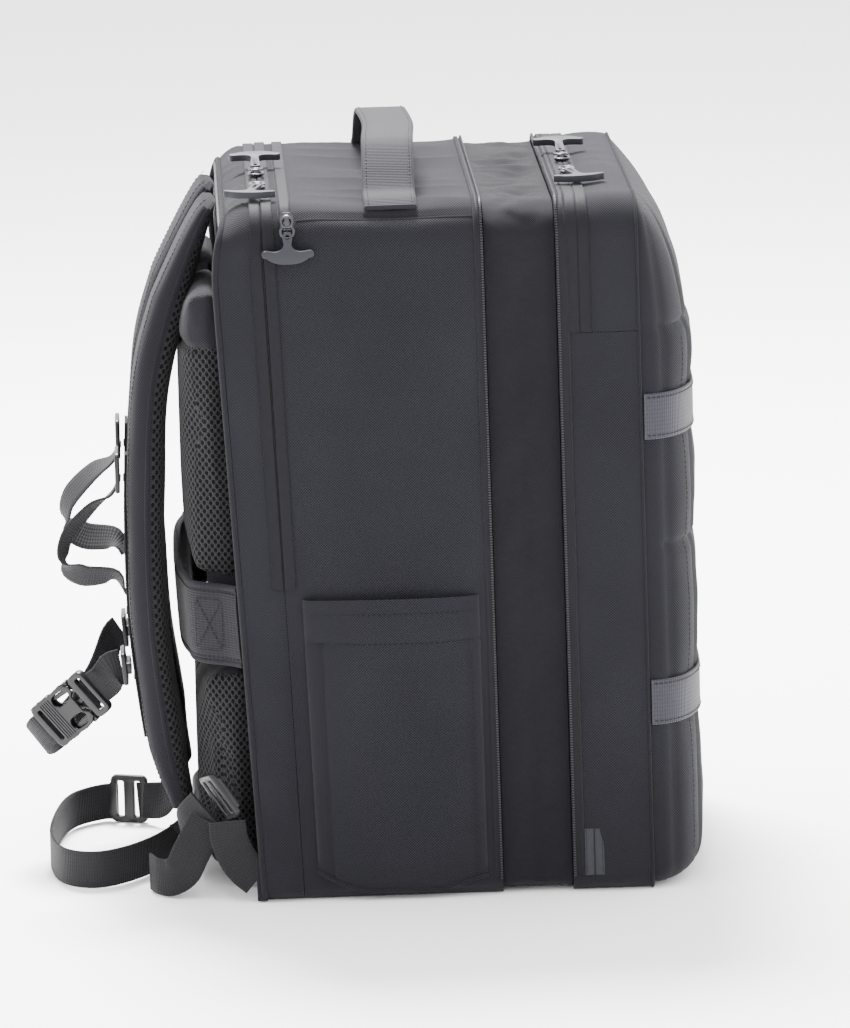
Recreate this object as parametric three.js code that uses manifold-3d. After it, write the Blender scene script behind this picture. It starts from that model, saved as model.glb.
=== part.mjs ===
// Travel backpack with an open expansion section: a standalone three.js model.
// Millimetres, +Z up, origin at the middle of the base. The wearer's back is at +Y,
// the front panel at -Y, and X runs across the bag.
import * as THREE from 'three';
import { mergeVertices } from 'three/addons/utils/BufferGeometryUtils.js';
import Module from 'manifold-3d';

const wasm = await Module();
wasm.setup();

// ---- Driving dimensions -------------------------------------------------------------
const HALF_WIDTH = 150;
const HEIGHT = 458;
const WALL = 4;
const GAP = 0.3;

// Depths along Y, at the base
const REAR_FACE = 115;
const REAR_ZIP = 90;
const MAIN_ZIP = 76;
const MAIN_FRONT = -40;
const FRONT_BACK = -86;
const FRONT_ZIP = -100;
const FRONT_FACE = -138;
const PANEL_FACE = -176;

// Corner radii of the outline seen from the back
const TOP_RADIUS = 14;
const BASE_RADIUS = 12;
const GUSSET_INSET = 4;

// The sides lean backwards as they rise, most of all at the wearer's back
const LEAN_FRONT = 0.008;
const LEAN_REAR = 0.05;

// Heights
const REAR_ZIP_FOOT = 209;
const FLAP_HEIGHT = 371;
const BOTTOM_ZIP_TOP = 43;

// Zip tapes, sliders and pulls
const TAPE_WIDTH = 6.4;
const TAPE_THICKNESS = 1.2;
const SLIDER_LENGTH = 12;
const SLIDER_SPACING = 25;
const SLIDER_WIDTH = 9;
const SLIDER_HEIGHT = 4;
const CHEEK = 1.6;
const PULL_ROOT = 1.2;
const TOP_PULL_REACH = 34;
const SIDE_PULL_REACH = 21;
const PULL_STEM = 7;
const PULL_BAR = 34;
const PULL_BAR_WIDTH = 7;
const PULL_THICKNESS = 4;
const REAR_SLIDERS_X = -53;
const FRONT_SLIDERS_X = -26;
const SIDE_SLIDER_TOP = 457;

// Webbing and buckles
const WEBBING = 25;
const RAIL_WIDTH = 20;
const WEBBING_THICKNESS = 1.8;
const BAND_HEIGHT = 30;
const UPPER_BAND_Z = 300;
const LOWER_BAND_Z = 111;

// Padding on the wearer's side
const UPPER_PAD_FACE = 161;
const LUMBAR_PAD_FACE = 155;
const STRAP_WIDTH = 62;
const STRAP_THICKNESS = 25;
const STRAP_TAPER = 3.5;

// ---- Materials ----------------------------------------------------------------------
const finish = (color, roughness, metalness = 0) =>
  new THREE.MeshStandardMaterial({ color, roughness, metalness });
const cloth = finish(0x3b3a40, 0.9);
const lining = finish(0x34343a, 0.9);
const mesh = finish(0x2c2b2f, 0.95);
const tape = finish(0x45434a, 0.6);
const webbing = finish(0x4a494d, 0.8);
const plastic = finish(0x2a2a2d, 0.45);
const pullPlastic = finish(0x6a6a74, 0.5);
const gunmetal = finish(0x5a5a5e, 0.3, 0.9);

// ---- Geometry helpers ---------------------------------------------------------------
const bag = new THREE.Group();

function add(name, geometry, material) {
  const piece = new THREE.Mesh(geometry, material);
  piece.name = name;
  bag.add(piece);
}

// Moves every point back by an amount that grows with height, more towards the back
function leaned(geometry) {
  const points = geometry.attributes.position;
  for (let i = 0; i < points.count; i += 1) {
    const y = points.getY(i);
    points.setY(i, y + points.getZ(i) * leanAt(y));
  }
  return geometry;
}

function leanAt(y) {
  const share = Math.min(1, (y - FRONT_FACE) / (REAR_FACE - FRONT_FACE));
  return LEAN_FRONT + (LEAN_REAR - LEAN_FRONT) * Math.max(0, share) ** 4;
}

function roundedOutline(halfWidth, bottom, top, baseRadius, topRadius) {
  const shape = new THREE.Shape();
  const quarter = Math.PI / 2;
  shape.moveTo(-halfWidth + baseRadius, bottom);
  shape.absarc(halfWidth - baseRadius, bottom + baseRadius, baseRadius, -quarter, 0, false);
  shape.absarc(halfWidth - topRadius, top - topRadius, topRadius, 0, quarter, false);
  shape.absarc(-halfWidth + topRadius, top - topRadius, topRadius, quarter, 2 * quarter, false);
  shape.absarc(-halfWidth + baseRadius, bottom + baseRadius, baseRadius, 2 * quarter, 3 * quarter, false);
  return shape;
}

function outlineInset(inset) {
  return roundedOutline(HALF_WIDTH - inset, inset, HEIGHT - inset,
    Math.max(2, BASE_RADIUS - inset), TOP_RADIUS - inset);
}

function polygon(corners) {
  return new THREE.Shape(corners.map(([u, v]) => new THREE.Vector2(u, v)));
}

const flatExtrusion = (shape, depth) =>
  new THREE.ExtrudeGeometry(shape, { depth, bevelEnabled: false, curveSegments: 5 });

// A shape drawn in X and Z, from y0 back to y1
function alongY(shape, y0, y1) {
  return flatExtrusion(shape, y1 - y0).rotateX(Math.PI / 2).translate(0, y1, 0);
}

// A shape drawn in Y and Z, from x0 to x1
function alongX(shape, x0, x1) {
  const turn = new THREE.Matrix4().set(0, 0, 1, x0, 1, 0, 0, 0, 0, 1, 0, 0, 0, 0, 0, 1);
  return flatExtrusion(shape, x1 - x0).applyMatrix4(turn);
}

// A shape drawn in X and Y, from z0 up to z1
function alongZ(shape, z0, z1) {
  return flatExtrusion(shape, z1 - z0).translate(0, 0, z0);
}

function box(x0, x1, y0, y1, z0, z1) {
  return new THREE.BoxGeometry(x1 - x0, y1 - y0, z1 - z0)
    .translate((x0 + x1) / 2, (y0 + y1) / 2, (z0 + z1) / 2);
}

function solid(geometry) {
  const bare = geometry.index ? geometry.toNonIndexed() : geometry.clone();
  bare.deleteAttribute('normal');
  bare.deleteAttribute('uv');
  const merged = mergeVertices(bare, 1e-4);
  return new wasm.Manifold(new wasm.Mesh({
    numProp: 3,
    vertProperties: new Float32Array(merged.attributes.position.array),
    triVerts: new Uint32Array(merged.index.array),
  }));
}

function geometryOf(manifold) {
  const result = manifold.getMesh();
  const geometry = new THREE.BufferGeometry();
  geometry.setAttribute('position', new THREE.BufferAttribute(result.vertProperties, 3));
  geometry.setIndex(new THREE.BufferAttribute(result.triVerts, 1));
  return geometry;
}

function cut(body, ...tools) {
  return geometryOf(tools.reduce((rest, tool) => rest.subtract(solid(tool)), solid(body)));
}

function joined(first, ...others) {
  return geometryOf(others.reduce((sum, other) => sum.add(solid(other)), solid(first)));
}

function common(first, second) {
  return geometryOf(solid(first).intersect(solid(second)));
}

// A solid band swept through a list of stations. Each station has a place, the direction
// in which the band's width runs there, and a share of the full thickness.
function sweptBand(stations, width, thickness) {
  const u = width / 2;
  const v = thickness / 2;
  const edge = Math.min(u, v) * 0.45;
  const section = thickness > 6
    ? [[-u, -v + edge], [-u + edge, -v], [u - edge, -v], [u, -v + edge],
      [u, v - edge], [u - edge, v], [-u + edge, v], [-u, v - edge]]
    : [[-u, -v], [u, -v], [u, v], [-u, v]];
  const places = [];
  stations.forEach(({ at, depth = 1 }, i) => {
    const before = stations[Math.max(0, i - 1)].at;
    const after = stations[Math.min(stations.length - 1, i + 1)].at;
    const tangent = after.clone().sub(before).normalize();
    const across = stations[i].across.clone();
    across.addScaledVector(tangent, -across.dot(tangent)).normalize();
    const normal = tangent.clone().cross(across);
    section.forEach(([a, b]) => {
      places.push(at.clone().addScaledVector(across, a).addScaledVector(normal, b * depth));
    });
  });
  const sides = section.length;
  const faces = [];
  for (let i = 0; i + 1 < stations.length; i += 1) {
    for (let j = 0; j < sides; j += 1) {
      const a = i * sides + j;
      const b = i * sides + ((j + 1) % sides);
      faces.push(a, b, b + sides, a, b + sides, a + sides);
    }
  }
  const last = (stations.length - 1) * sides;
  for (let j = 1; j + 1 < sides; j += 1) {
    faces.push(0, j + 1, j);
    faces.push(last, last + j, last + j + 1);
  }
  const geometry = new THREE.BufferGeometry();
  geometry.setAttribute('position',
    new THREE.BufferAttribute(new Float32Array(places.flatMap((p) => p.toArray())), 3));
  geometry.setIndex(faces);
  return geometry;
}

// Evenly spaced stations on a smooth curve through the route's points
function stationsOn(route, count) {
  const places = new THREE.CatmullRomCurve3(route.map(([p]) => new THREE.Vector3(...p)));
  const widths = new THREE.CatmullRomCurve3(route.map(([, w]) => new THREE.Vector3(...w)));
  return Array.from({ length: count }, (_, i) => {
    const share = i / (count - 1);
    return { at: places.getPoint(share), across: widths.getPoint(share).normalize() };
  });
}

// ---- Compartments -------------------------------------------------------------------
function ring(y0, y1, inset, wall) {
  const outline = outlineInset(inset);
  outline.holes.push(outlineInset(inset + wall));
  return alongY(outline, y0, y1);
}

function tray(y0, y1, floorFrom, floorTo) {
  return joined(ring(y0, y1, 0, WALL), alongY(outlineInset(WALL / 2), floorFrom, floorTo));
}

function compartments() {
  add('main_shell', leaned(ring(MAIN_FRONT, REAR_ZIP - GAP, 0, WALL)), cloth);
  add('laptop_divider', leaned(alongY(outlineInset(WALL + GAP), 84, 87)), lining);
  add('rear_shell', leaned(tray(REAR_ZIP, REAR_FACE, REAR_FACE - 3, REAR_FACE)), cloth);
  add('frame_sheet', leaned(alongY(outlineInset(12), REAR_FACE - 5.3, REAR_FACE - 3.3)), plastic);
  add('expansion_gusset',
    leaned(ring(FRONT_BACK + GAP, MAIN_FRONT - GAP, GUSSET_INSET, 2.5)), lining);
}

function frontSection() {
  const whole = tray(FRONT_FACE, FRONT_BACK, FRONT_BACK - 3, FRONT_BACK);
  const flapSpace = box(-200, 200, FRONT_FACE - 5, FRONT_ZIP, FLAP_HEIGHT, HEIGHT + 20);
  add('front_shell', leaned(cut(whole, flapSpace)), cloth);
  const flapBlock = box(-200, 200, FRONT_FACE, FRONT_ZIP - GAP, FLAP_HEIGHT + GAP, HEIGHT + 20);
  add('front_flap', leaned(common(ring(FRONT_FACE, FRONT_BACK, 0, WALL), flapBlock)), cloth);
}

// The quilted panel: a pillow in plan, with a large round at its top front edge
function panelPlan(offset) {
  const half = HALF_WIDTH - 1;
  const back = FRONT_FACE - GAP;
  const shape = new THREE.Shape();
  shape.moveTo(half + offset, back);
  shape.lineTo(-half - offset, back);
  shape.quadraticCurveTo(-half - offset, PANEL_FACE + 12 - offset, -half + 45, PANEL_FACE + 3 - offset);
  shape.quadraticCurveTo(0, PANEL_FACE - 3 - offset, half - 45, PANEL_FACE + 3 - offset);
  shape.quadraticCurveTo(half + offset, PANEL_FACE + 12 - offset, half + offset, back);
  return shape;
}

function panelProfile() {
  const shape = new THREE.Shape();
  const front = PANEL_FACE - 3;
  shape.moveTo(FRONT_FACE, 3);
  shape.lineTo(FRONT_FACE, HEIGHT - 6);
  shape.quadraticCurveTo(front + 10, HEIGHT - 16, front, HEIGHT - 92);
  shape.lineTo(front, 24);
  shape.quadraticCurveTo(front, 3, front + 22, 3);
  return shape;
}

function frontPanels() {
  const pillow = common(alongX(panelProfile(), -HALF_WIDTH, HALF_WIDTH), alongZ(panelPlan(0), 0, HEIGHT));
  const upper = box(-200, 200, PANEL_FACE - 30, FRONT_FACE, FLAP_HEIGHT + GAP, HEIGHT);
  const lower = box(-200, 200, PANEL_FACE - 30, FRONT_FACE, 0, FLAP_HEIGHT);
  add('front_panel_upper', leaned(common(pillow, upper)), cloth);
  add('front_panel_lower', leaned(common(pillow, lower)), cloth);
  for (const [name, z] of [['front_band_upper', UPPER_BAND_Z], ['front_band_lower', LOWER_BAND_Z]]) {
    const strip = cut(alongZ(panelPlan(GAP + WEBBING_THICKNESS), z, z + BAND_HEIGHT),
      alongZ(panelPlan(GAP), z - 1, z + BAND_HEIGHT + 1),
      box(-200, 200, FRONT_FACE - 3, FRONT_FACE + 5, 0, HEIGHT));
    add(name, leaned(strip), webbing);
  }
}

// ---- Zip tapes ----------------------------------------------------------------------
// A raised tape over the sides and top, from one foot up and over to the other
function tapeArch(y0, y1, foot) {
  const outline = outlineInset(-GAP - TAPE_THICKNESS);
  outline.holes.push(outlineInset(-GAP));
  const below = box(-200, 200, -300, 300, -50, foot);
  return leaned(cut(alongY(outline, y0, y1), below));
}

function zipTapes() {
  const slit = 0.4;
  const zips = [
    ['rear_zip_tape_front', REAR_ZIP - slit - TAPE_WIDTH, REAR_ZIP_FOOT],
    ['rear_zip_tape_back', REAR_ZIP + slit, REAR_ZIP_FOOT],
    ['front_zip_tape_flap', FRONT_ZIP - slit - TAPE_WIDTH, FLAP_HEIGHT + GAP],
    ['front_zip_tape_fixed', FRONT_ZIP + slit, FLAP_HEIGHT + GAP],
  ];
  for (const [name, start, foot] of zips) {
    add(name, tapeArch(start, start + TAPE_WIDTH, foot), tape);
  }
  add('main_zip_tape', tapeArch(MAIN_ZIP - 3, MAIN_ZIP + 4, REAR_ZIP_FOOT), tape);
  add('expansion_zip_rear', tapeArch(MAIN_FRONT, MAIN_FRONT + 5, BASE_RADIUS), tape);
  add('expansion_zip_front', tapeArch(FRONT_BACK - 6, FRONT_BACK, BASE_RADIUS), tape);
  for (const [name, side] of [['bottom_zip_tape_left', -1], ['bottom_zip_tape_right', 1]]) {
    const inner = side * (HALF_WIDTH + GAP);
    const outer = side * (HALF_WIDTH + GAP + TAPE_THICKNESS);
    add(name, leaned(box(Math.min(inner, outer), Math.max(inner, outer),
      FRONT_ZIP - TAPE_WIDTH, FRONT_ZIP + TAPE_WIDTH, BASE_RADIUS, BOTTOM_ZIP_TOP)), tape);
  }
}

// ---- Sliders and T-shaped pulls -----------------------------------------------------
// Drawn with the slider at the origin on top of its tape, and the pull towards +X
function sliderShape() {
  const body = box(0, SLIDER_LENGTH, -SLIDER_WIDTH / 2, SLIDER_WIDTH / 2, 0, SLIDER_HEIGHT);
  const cheeks = [-1, 1].map((side) => {
    const middle = side * (SLIDER_WIDTH - CHEEK) / 2;
    return box(SLIDER_LENGTH - 0.5, SLIDER_LENGTH + 4, middle - CHEEK / 2, middle + CHEEK / 2,
      0.6, SLIDER_HEIGHT);
  });
  return joined(body, ...cheeks);
}

function pullShape(reach) {
  const root = SLIDER_LENGTH + PULL_ROOT;
  const half = SLIDER_WIDTH / 2 - CHEEK - GAP;
  const bar = root + reach;
  const shape = new THREE.Shape();
  shape.moveTo(root, -half);
  shape.lineTo(root + 6, -half);
  shape.lineTo(root + 8, -PULL_STEM / 2);
  shape.lineTo(bar - PULL_BAR_WIDTH - 3, -PULL_STEM / 2);
  shape.quadraticCurveTo(bar - PULL_BAR_WIDTH, -PULL_STEM, bar - PULL_BAR_WIDTH - 2, -PULL_BAR / 2);
  shape.quadraticCurveTo(bar + 1, -PULL_BAR / 2, bar, 0);
  shape.quadraticCurveTo(bar + 1, PULL_BAR / 2, bar - PULL_BAR_WIDTH - 2, PULL_BAR / 2);
  shape.quadraticCurveTo(bar - PULL_BAR_WIDTH, PULL_STEM, bar - PULL_BAR_WIDTH - 3, PULL_STEM / 2);
  shape.lineTo(root + 8, PULL_STEM / 2);
  shape.lineTo(root + 6, half);
  shape.lineTo(root, half);
  return alongZ(shape, 1.2, 1.2 + PULL_THICKNESS);
}

function placePair(sliderName, pullName, reach, place) {
  add(sliderName, place(sliderShape()), gunmetal);
  add(pullName, place(pullShape(reach)), pullPlastic);
}

// A pair lying on the top of the bag, with its pull towards -X or +X
function topPair(sliderName, pullName, x, y, side) {
  const lift = HEIGHT + GAP + TAPE_THICKNESS + GAP;
  const middle = y + HEIGHT * leanAt(y);
  const start = x + side * SLIDER_SPACING;
  placePair(sliderName, pullName, TOP_PULL_REACH, (geometry) =>
    geometry.rotateZ(side < 0 ? Math.PI : 0).translate(start, middle, lift));
}

// The main compartment's slider is parked high on the left side, and its pull hangs down
function sidePair() {
  const out = -(HALF_WIDTH + GAP + TAPE_THICKNESS + GAP);
  const middle = MAIN_ZIP + (SIDE_SLIDER_TOP - SLIDER_LENGTH) * leanAt(MAIN_ZIP);
  placePair('main_slider', 'main_pull', SIDE_PULL_REACH, (geometry) =>
    geometry.rotateX(Math.PI).rotateY(Math.PI / 2).translate(out, middle, SIDE_SLIDER_TOP));
}

function slidersAndPulls() {
  topPair('rear_slider_near', 'rear_pull_near', REAR_SLIDERS_X, REAR_ZIP, -1);
  topPair('rear_slider_far', 'rear_pull_far', REAR_SLIDERS_X, REAR_ZIP, 1);
  topPair('front_slider_near', 'front_pull_near', FRONT_SLIDERS_X, FRONT_ZIP, -1);
  topPair('front_slider_far', 'front_pull_far', FRONT_SLIDERS_X, FRONT_ZIP, 1);
  sidePair();
  const out = HALF_WIDTH + GAP + TAPE_THICKNESS + GAP;
  add('expansion_slider', leaned(joined(
    box(out, out + 4, MAIN_FRONT - 3, MAIN_FRONT + 6, 22, 34),
    box(out + 2, out + 4.5, MAIN_FRONT, MAIN_FRONT + 3, 30, 52))), gunmetal);
}

// ---- Side pockets and the carry handle ----------------------------------------------
function sidePockets() {
  for (const [name, side] of [['side_pocket_left', -1], ['side_pocket_right', 1]]) {
    const outer = HALF_WIDTH + 12;
    const inner = HALF_WIDTH + GAP + TAPE_THICKNESS;
    const skin = 2.5;
    const block = alongX(polygon([[-30, 12], [-14, 6], [60, 6], [78, 20], [80, 203], [-30, 203]]), inner, outer);
    const space = alongX(polygon([[-27, 15], [-13, 9], [58, 9], [75, 22], [77, 210], [-27, 210]]),
      inner - 1, outer - skin);
    const pocket = cut(block, space);
    add(name, leaned(side > 0 ? pocket : mirrored(pocket)), cloth);
  }
}

function mirrored(geometry) {
  const copy = geometryOf(solid(geometry)).scale(-1, 1, 1);
  const order = copy.index.array;
  for (let i = 0; i < order.length; i += 3) {
    [order[i], order[i + 1]] = [order[i + 1], order[i]];
  }
  return copy;
}

function carryHandle() {
  const lift = HEIGHT + GAP;
  const thick = 4.5;
  const crest = lift + 38;
  const outer = new THREE.Shape();
  outer.moveTo(-145, lift);
  outer.lineTo(-108, lift);
  outer.quadraticCurveTo(-92, crest - thick, -60, crest - thick);
  outer.lineTo(60, crest - thick);
  outer.quadraticCurveTo(92, crest - thick, 108, lift);
  outer.lineTo(145, lift);
  outer.lineTo(145, lift + 2.5);
  outer.lineTo(113, lift + 2.5);
  outer.quadraticCurveTo(96, crest, 62, crest);
  outer.lineTo(-62, crest);
  outer.quadraticCurveTo(-96, crest, -113, lift + 2.5);
  outer.lineTo(-145, lift + 2.5);
  add('carry_handle', leaned(alongY(outer, -1, 33)), webbing);
}

// ---- Padding on the wearer's side ---------------------------------------------------
// A pad between two widths, from a side profile of (Y, Z) corners
function padBlock(x0, x1, profile) {
  const far = REAR_FACE + 80;
  const face = Math.max(...profile.map(([y]) => y));
  const plan = polygon([[x0, REAR_FACE], [x1, REAR_FACE], [x1, face - 9], [x1 - 9, face + 0.5],
    [x1 - 9, far], [x0 + 9, far], [x0 + 9, face + 0.5], [x0, face - 9]]);
  return common(alongX(polygon(profile), x0, x1), alongZ(plan, 0, HEIGHT));
}

// The wearer's face of the rear shell at a height
const rearAt = (z) => REAR_FACE + GAP + z * LEAN_REAR;

function backPadding() {
  const [foot, top] = [212, 404];
  const upper = [[rearAt(foot), foot], [150, foot + 2], [UPPER_PAD_FACE, foot + 14],
    [UPPER_PAD_FACE, 350], [148, 386], [rearAt(top) + 2, top], [rearAt(top), top]];
  add('upper_back_pad_left', padBlock(-122, -14, upper), mesh);
  add('upper_back_pad_right', padBlock(14, 122, upper), mesh);
  const lower = [[rearAt(6), 6], [150, 6], [LUMBAR_PAD_FACE, 16],
    [LUMBAR_PAD_FACE - 2, 138], [146, 150], [rearAt(152), 152]];
  add('lumbar_pad', padBlock(-118, 118, lower), mesh);
  const sleeve = polygon([[-142, REAR_FACE + GAP], [-118, REAR_FACE + 30], [-60, REAR_FACE + 40],
    [60, REAR_FACE + 40], [118, REAR_FACE + 30], [142, REAR_FACE + GAP], [146, REAR_FACE + GAP],
    [146, REAR_FACE + 3], [120, REAR_FACE + 33], [61, REAR_FACE + 43], [-61, REAR_FACE + 43],
    [-120, REAR_FACE + 33], [-146, REAR_FACE + 3], [-146, REAR_FACE + GAP]]);
  add('trolley_sleeve', leaned(alongZ(sleeve, 158, 206)), webbing);
}

// ---- Shoulder straps ----------------------------------------------------------------
// The middle line of the right strap, from its top seam down to its lower end
const STRAP_LINE = [
  [40, 145, 440], [42, 155, 412], [47, 169, 374], [54, 180, 329], [60, 185, 265],
  [62, 186, 202], [60, 184, 155], [55, 176, 87], [50, 167.5, 46],
].map((p) => new THREE.Vector3(...p));
const strapCurve = new THREE.CatmullRomCurve3(STRAP_LINE);
const ACROSS = new THREE.Vector3(1, 0, 0);

function strapStations(from, to, count, offset) {
  return Array.from({ length: count }, (_, i) => {
    const share = from + (to - from) * (i / (count - 1));
    const tangent = strapCurve.getTangentAt(share);
    const outward = ACROSS.clone().cross(tangent).normalize();
    if (outward.y < 0) {
      outward.negate();
    }
    const depth = Math.min(1, 0.4 + share * STRAP_TAPER, 0.62 + (1 - share) * STRAP_TAPER);
    return { at: strapCurve.getPointAt(share).addScaledVector(outward, offset), across: ACROSS, depth };
  });
}

function bothSides(stem, geometry, material) {
  add(`${stem}_right`, geometry, material);
  add(`${stem}_left`, mirrored(geometry), material);
}

// A flat frame with slots for webbing, drawn flat in X and Y with its middle at the origin
function slottedFrame(width, length, thickness, slots) {
  const outline = roundedOutline(width / 2, -length / 2, length / 2, 3, 3);
  for (const middle of slots) {
    const slot = new THREE.Path();
    slot.moveTo(-width / 2 + 4, middle - 2.2);
    slot.lineTo(-width / 2 + 4, middle + 2.2);
    slot.lineTo(width / 2 - 4, middle + 2.2);
    slot.lineTo(width / 2 - 4, middle - 2.2);
    outline.holes.push(slot);
  }
  return alongZ(outline, -thickness / 2, thickness / 2);
}

// Turns a flat frame so that its width runs along one direction and its face another
function oriented(geometry, across, along, place) {
  const x = new THREE.Vector3(...across).normalize();
  const z = x.clone().cross(new THREE.Vector3(...along)).normalize();
  const y = z.clone().cross(x);
  const turn = new THREE.Matrix4().makeBasis(x, y, z).setPosition(...place);
  return geometry.applyMatrix4(turn);
}

function shoulderStraps() {
  const skin = STRAP_THICKNESS / 2;
  bothSides('shoulder_strap', sweptBand(strapStations(0, 1, 16, 0), STRAP_WIDTH, STRAP_THICKNESS), cloth);
  bothSides('strap_rail',
    sweptBand(strapStations(0.42, 0.88, 9, skin + GAP + 0.8), RAIL_WIDTH, WEBBING_THICKNESS), webbing);
  bothSides('strap_triglide',
    oriented(slottedFrame(32, 27, 3, [-6.5, 6.5]), [1, 0, 0], [0, 0, 1], [58, 206, 273]), plastic);
  const loop = [
    [[58, 208, 257], [1, 0.1, 0]], [[60, 222, 248], [0.9, 0.1, 0.5]], [[64, 238, 230], [0.6, 0, 0.8]],
    [[66, 240, 214], [0.5, 0.3, 0.8]], [[64, 228, 204], [0.6, 0.1, 0.8]], [[60, 208, 202], [0.8, 0, 0.6]],
  ];
  bothSides('strap_loop', sweptBand(stationsOn(loop, 12), 20, WEBBING_THICKNESS), webbing);
}

// ---- Chest strap --------------------------------------------------------------------
const CHEST_X = 57;
const CHEST_Y = 203;
const CHEST_Z = 141;
const LEG_START = new THREE.Vector3(-CHEST_X, CHEST_Y + 8, CHEST_Z - 6);
const BUCKLE_AXIS = new THREE.Vector3(0.44, 0.66, -0.61).normalize();
const BUCKLE_WIDTH_DIRECTION = new THREE.Vector3(0.1, 0.66, 0.75);

function alongLeg(distance) {
  return LEG_START.clone().addScaledVector(BUCKLE_AXIS, distance);
}

function buckleFrame(geometry, distance) {
  return oriented(geometry, BUCKLE_WIDTH_DIRECTION.clone().addScaledVector(BUCKLE_AXIS,
    -BUCKLE_WIDTH_DIRECTION.dot(BUCKLE_AXIS)).toArray(), BUCKLE_AXIS.toArray(),
  alongLeg(distance).toArray());
}

// The plug: a slotted base and three prongs, pointing along +Y in its flat drawing
function plugShape() {
  const base = slottedFrame(34, 13, 6, [-1]);
  const prongs = [-11.5, 0, 11.5].map((x) => box(x - 1.7, x + 1.7, 6, 26, -1.6, 1.6));
  return joined(base, ...prongs);
}

// The socket: a flat sleeve open at the plug's end, with a slot for webbing at the other
function socketShape() {
  const sleeve = box(-17, 17, 7, 44, -4, 4);
  const inside = box(-14, 14, 6, 32, -2.4, 2.4);
  const windows = box(-20, 20, 13, 25, -2.4, 2.4);
  const slot = box(-12.5, 12.5, 36.5, 40, -6, 6);
  return cut(sleeve, inside, windows, slot);
}

function chestStrap() {
  const slider = joined(box(-15, 15, -11, 11, -1.6, 1.6), box(-13, 13, -4, 4, 1, 4.4));
  const tilted = (side) => {
    const copy = slider.clone();
    return oriented(copy, [1, 0, 0], [0, 0.09, 0.996], [side * CHEST_X, CHEST_Y, CHEST_Z]);
  };
  add('chest_slider_left', tilted(-1), plastic);
  add('chest_slider_right', tilted(1), plastic);
  const width = BUCKLE_WIDTH_DIRECTION.toArray();
  const near = [
    [[-CHEST_X, CHEST_Y + 8.9, CHEST_Z - 3], [0.2, 0.1, 0.97]],
    [alongLeg(7).toArray(), width], [alongLeg(16.5).toArray(), width],
  ];
  add('chest_webbing_left', sweptBand(stationsOn(near, 6), 24, WEBBING_THICKNESS), webbing);
  add('buckle_plug', buckleFrame(plugShape(), 24), plastic);
  add('buckle_socket', buckleFrame(socketShape(), 24), plastic);
  const far = [
    [alongLeg(69.5).toArray(), width], [alongLeg(74).toArray(), width],
    [[-14, 263, 82], [0.3, 0.6, 0.75]], [[4, 256, 80], [0, 0.6, 0.8]],
    [[28, 238, 90], [-0.1, 0.5, 0.85]], [[45, 221, 112], [-0.2, 0.4, 0.9]],
    [[CHEST_X - 4, CHEST_Y + 10, CHEST_Z - 5], [-0.2, 0.1, 0.97]],
  ];
  add('chest_webbing_right', sweptBand(stationsOn(far, 12), 24, WEBBING_THICKNESS), webbing);
}

// ---- Lower adjusting webbing --------------------------------------------------------
// Left side: strap end, keeper, ladder lock, webbing to the bag's corner, folded tail.
const LEFT_LOCK = [-138, 143, 70];
const RIGHT_LOCK = [76, 204, 17];
const LEFT_KEEPER = [
  [[-51, 167, 36], [1, 0, 0]], [[-61, 167.5, 24.5], [0.7, 0, 0.7]], [[-88, 168, 28], [0, 0.1, 1]],
  [[-112, 165, 45], [0, 0.3, 0.95]], [[-129, 154, 61], [0.1, 0.5, 0.85]],
];
const LEFT_WEBBING = [
  [[-142, 139, 52], [0.2, 0.9, 0.3]], [[-145, 140, 34], [0, 0.7, 0.7]], [[-146, 132, 18], [0, 0.1, 1]],
  [[-147, 118, 15], [0, 0, 1]],
];
const LEFT_TAIL = [
  [[-131, 152, 52], [0.3, 0.9, 0.2]], [[-134, 162, 34], [0.2, 0.6, 0.8]], [[-132, 170, 17], [0, 0, 1]],
  [[-124, 184, 14], [0, 0, 1]], [[-108, 190, 14], [0, 0, 1]],
];
const RIGHT_KEEPER = [
  [[51, 166.5, 39.5], [1, 0, 0]], [[54, 171, 30], [0.9, 0, 0.4]], [[60, 180, 20], [0.5, 0, 0.8]],
  [[68, 189, 17], [0.1, 0, 1]],
];
const RIGHT_WEBBING = [
  [[83, 222, 14], [0, 0, 1]], [[62, 242, 13.5], [0, 0, 1]], [[20, 252, 13.5], [0, 0, 1]],
  [[-40, 256, 13.5], [0, 0, 1]], [[-84, 248, 13.5], [0, 0, 1]], [[-100, 228, 13.5], [0, 0, 1]],
  [[-88, 206, 13.5], [0, 0, 1]], [[-56, 184, 13.5], [0, 0, 1]], [[-10, 168, 13.5], [0, 0, 1]],
  [[50, 159.5, 13.5], [0, 0, 1]], [[100, 159.5, 13.5], [0, 0, 1]], [[134, 148, 15], [0, 0, 1]],
  [[146, 132, 16], [0, 0, 1]], [[147, 118, 15], [0, 0, 1]],
];

function lowerWebbing() {
  const flat = (name, route, count) =>
    add(name, sweptBand(stationsOn(route, count), WEBBING, WEBBING_THICKNESS), webbing);
  flat('strap_keeper_left', LEFT_KEEPER, 6);
  flat('strap_keeper_right', RIGHT_KEEPER, 6);
  add('ladder_lock_left',
    oriented(slottedFrame(33, 26, 4, [-6, 6]), [0.1, 0.55, 0.83], [-0.8, -0.3, 0.2], LEFT_LOCK), plastic);
  add('ladder_lock_right',
    oriented(slottedFrame(33, 26, 4, [-6, 6]), [0, 0, 1], [0.3, 0.95, 0], RIGHT_LOCK), plastic);
  flat('adjuster_webbing_left', LEFT_WEBBING, 6);
  flat('adjuster_webbing_right', RIGHT_WEBBING, 44);
  flat('webbing_tail_left', LEFT_TAIL, 12);
}

compartments();
frontSection();
frontPanels();
zipTapes();
slidersAndPulls();
sidePockets();
carryHandle();
backPadding();
shoulderStraps();
chestStrap();
lowerWebbing();

export default bag;
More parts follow.
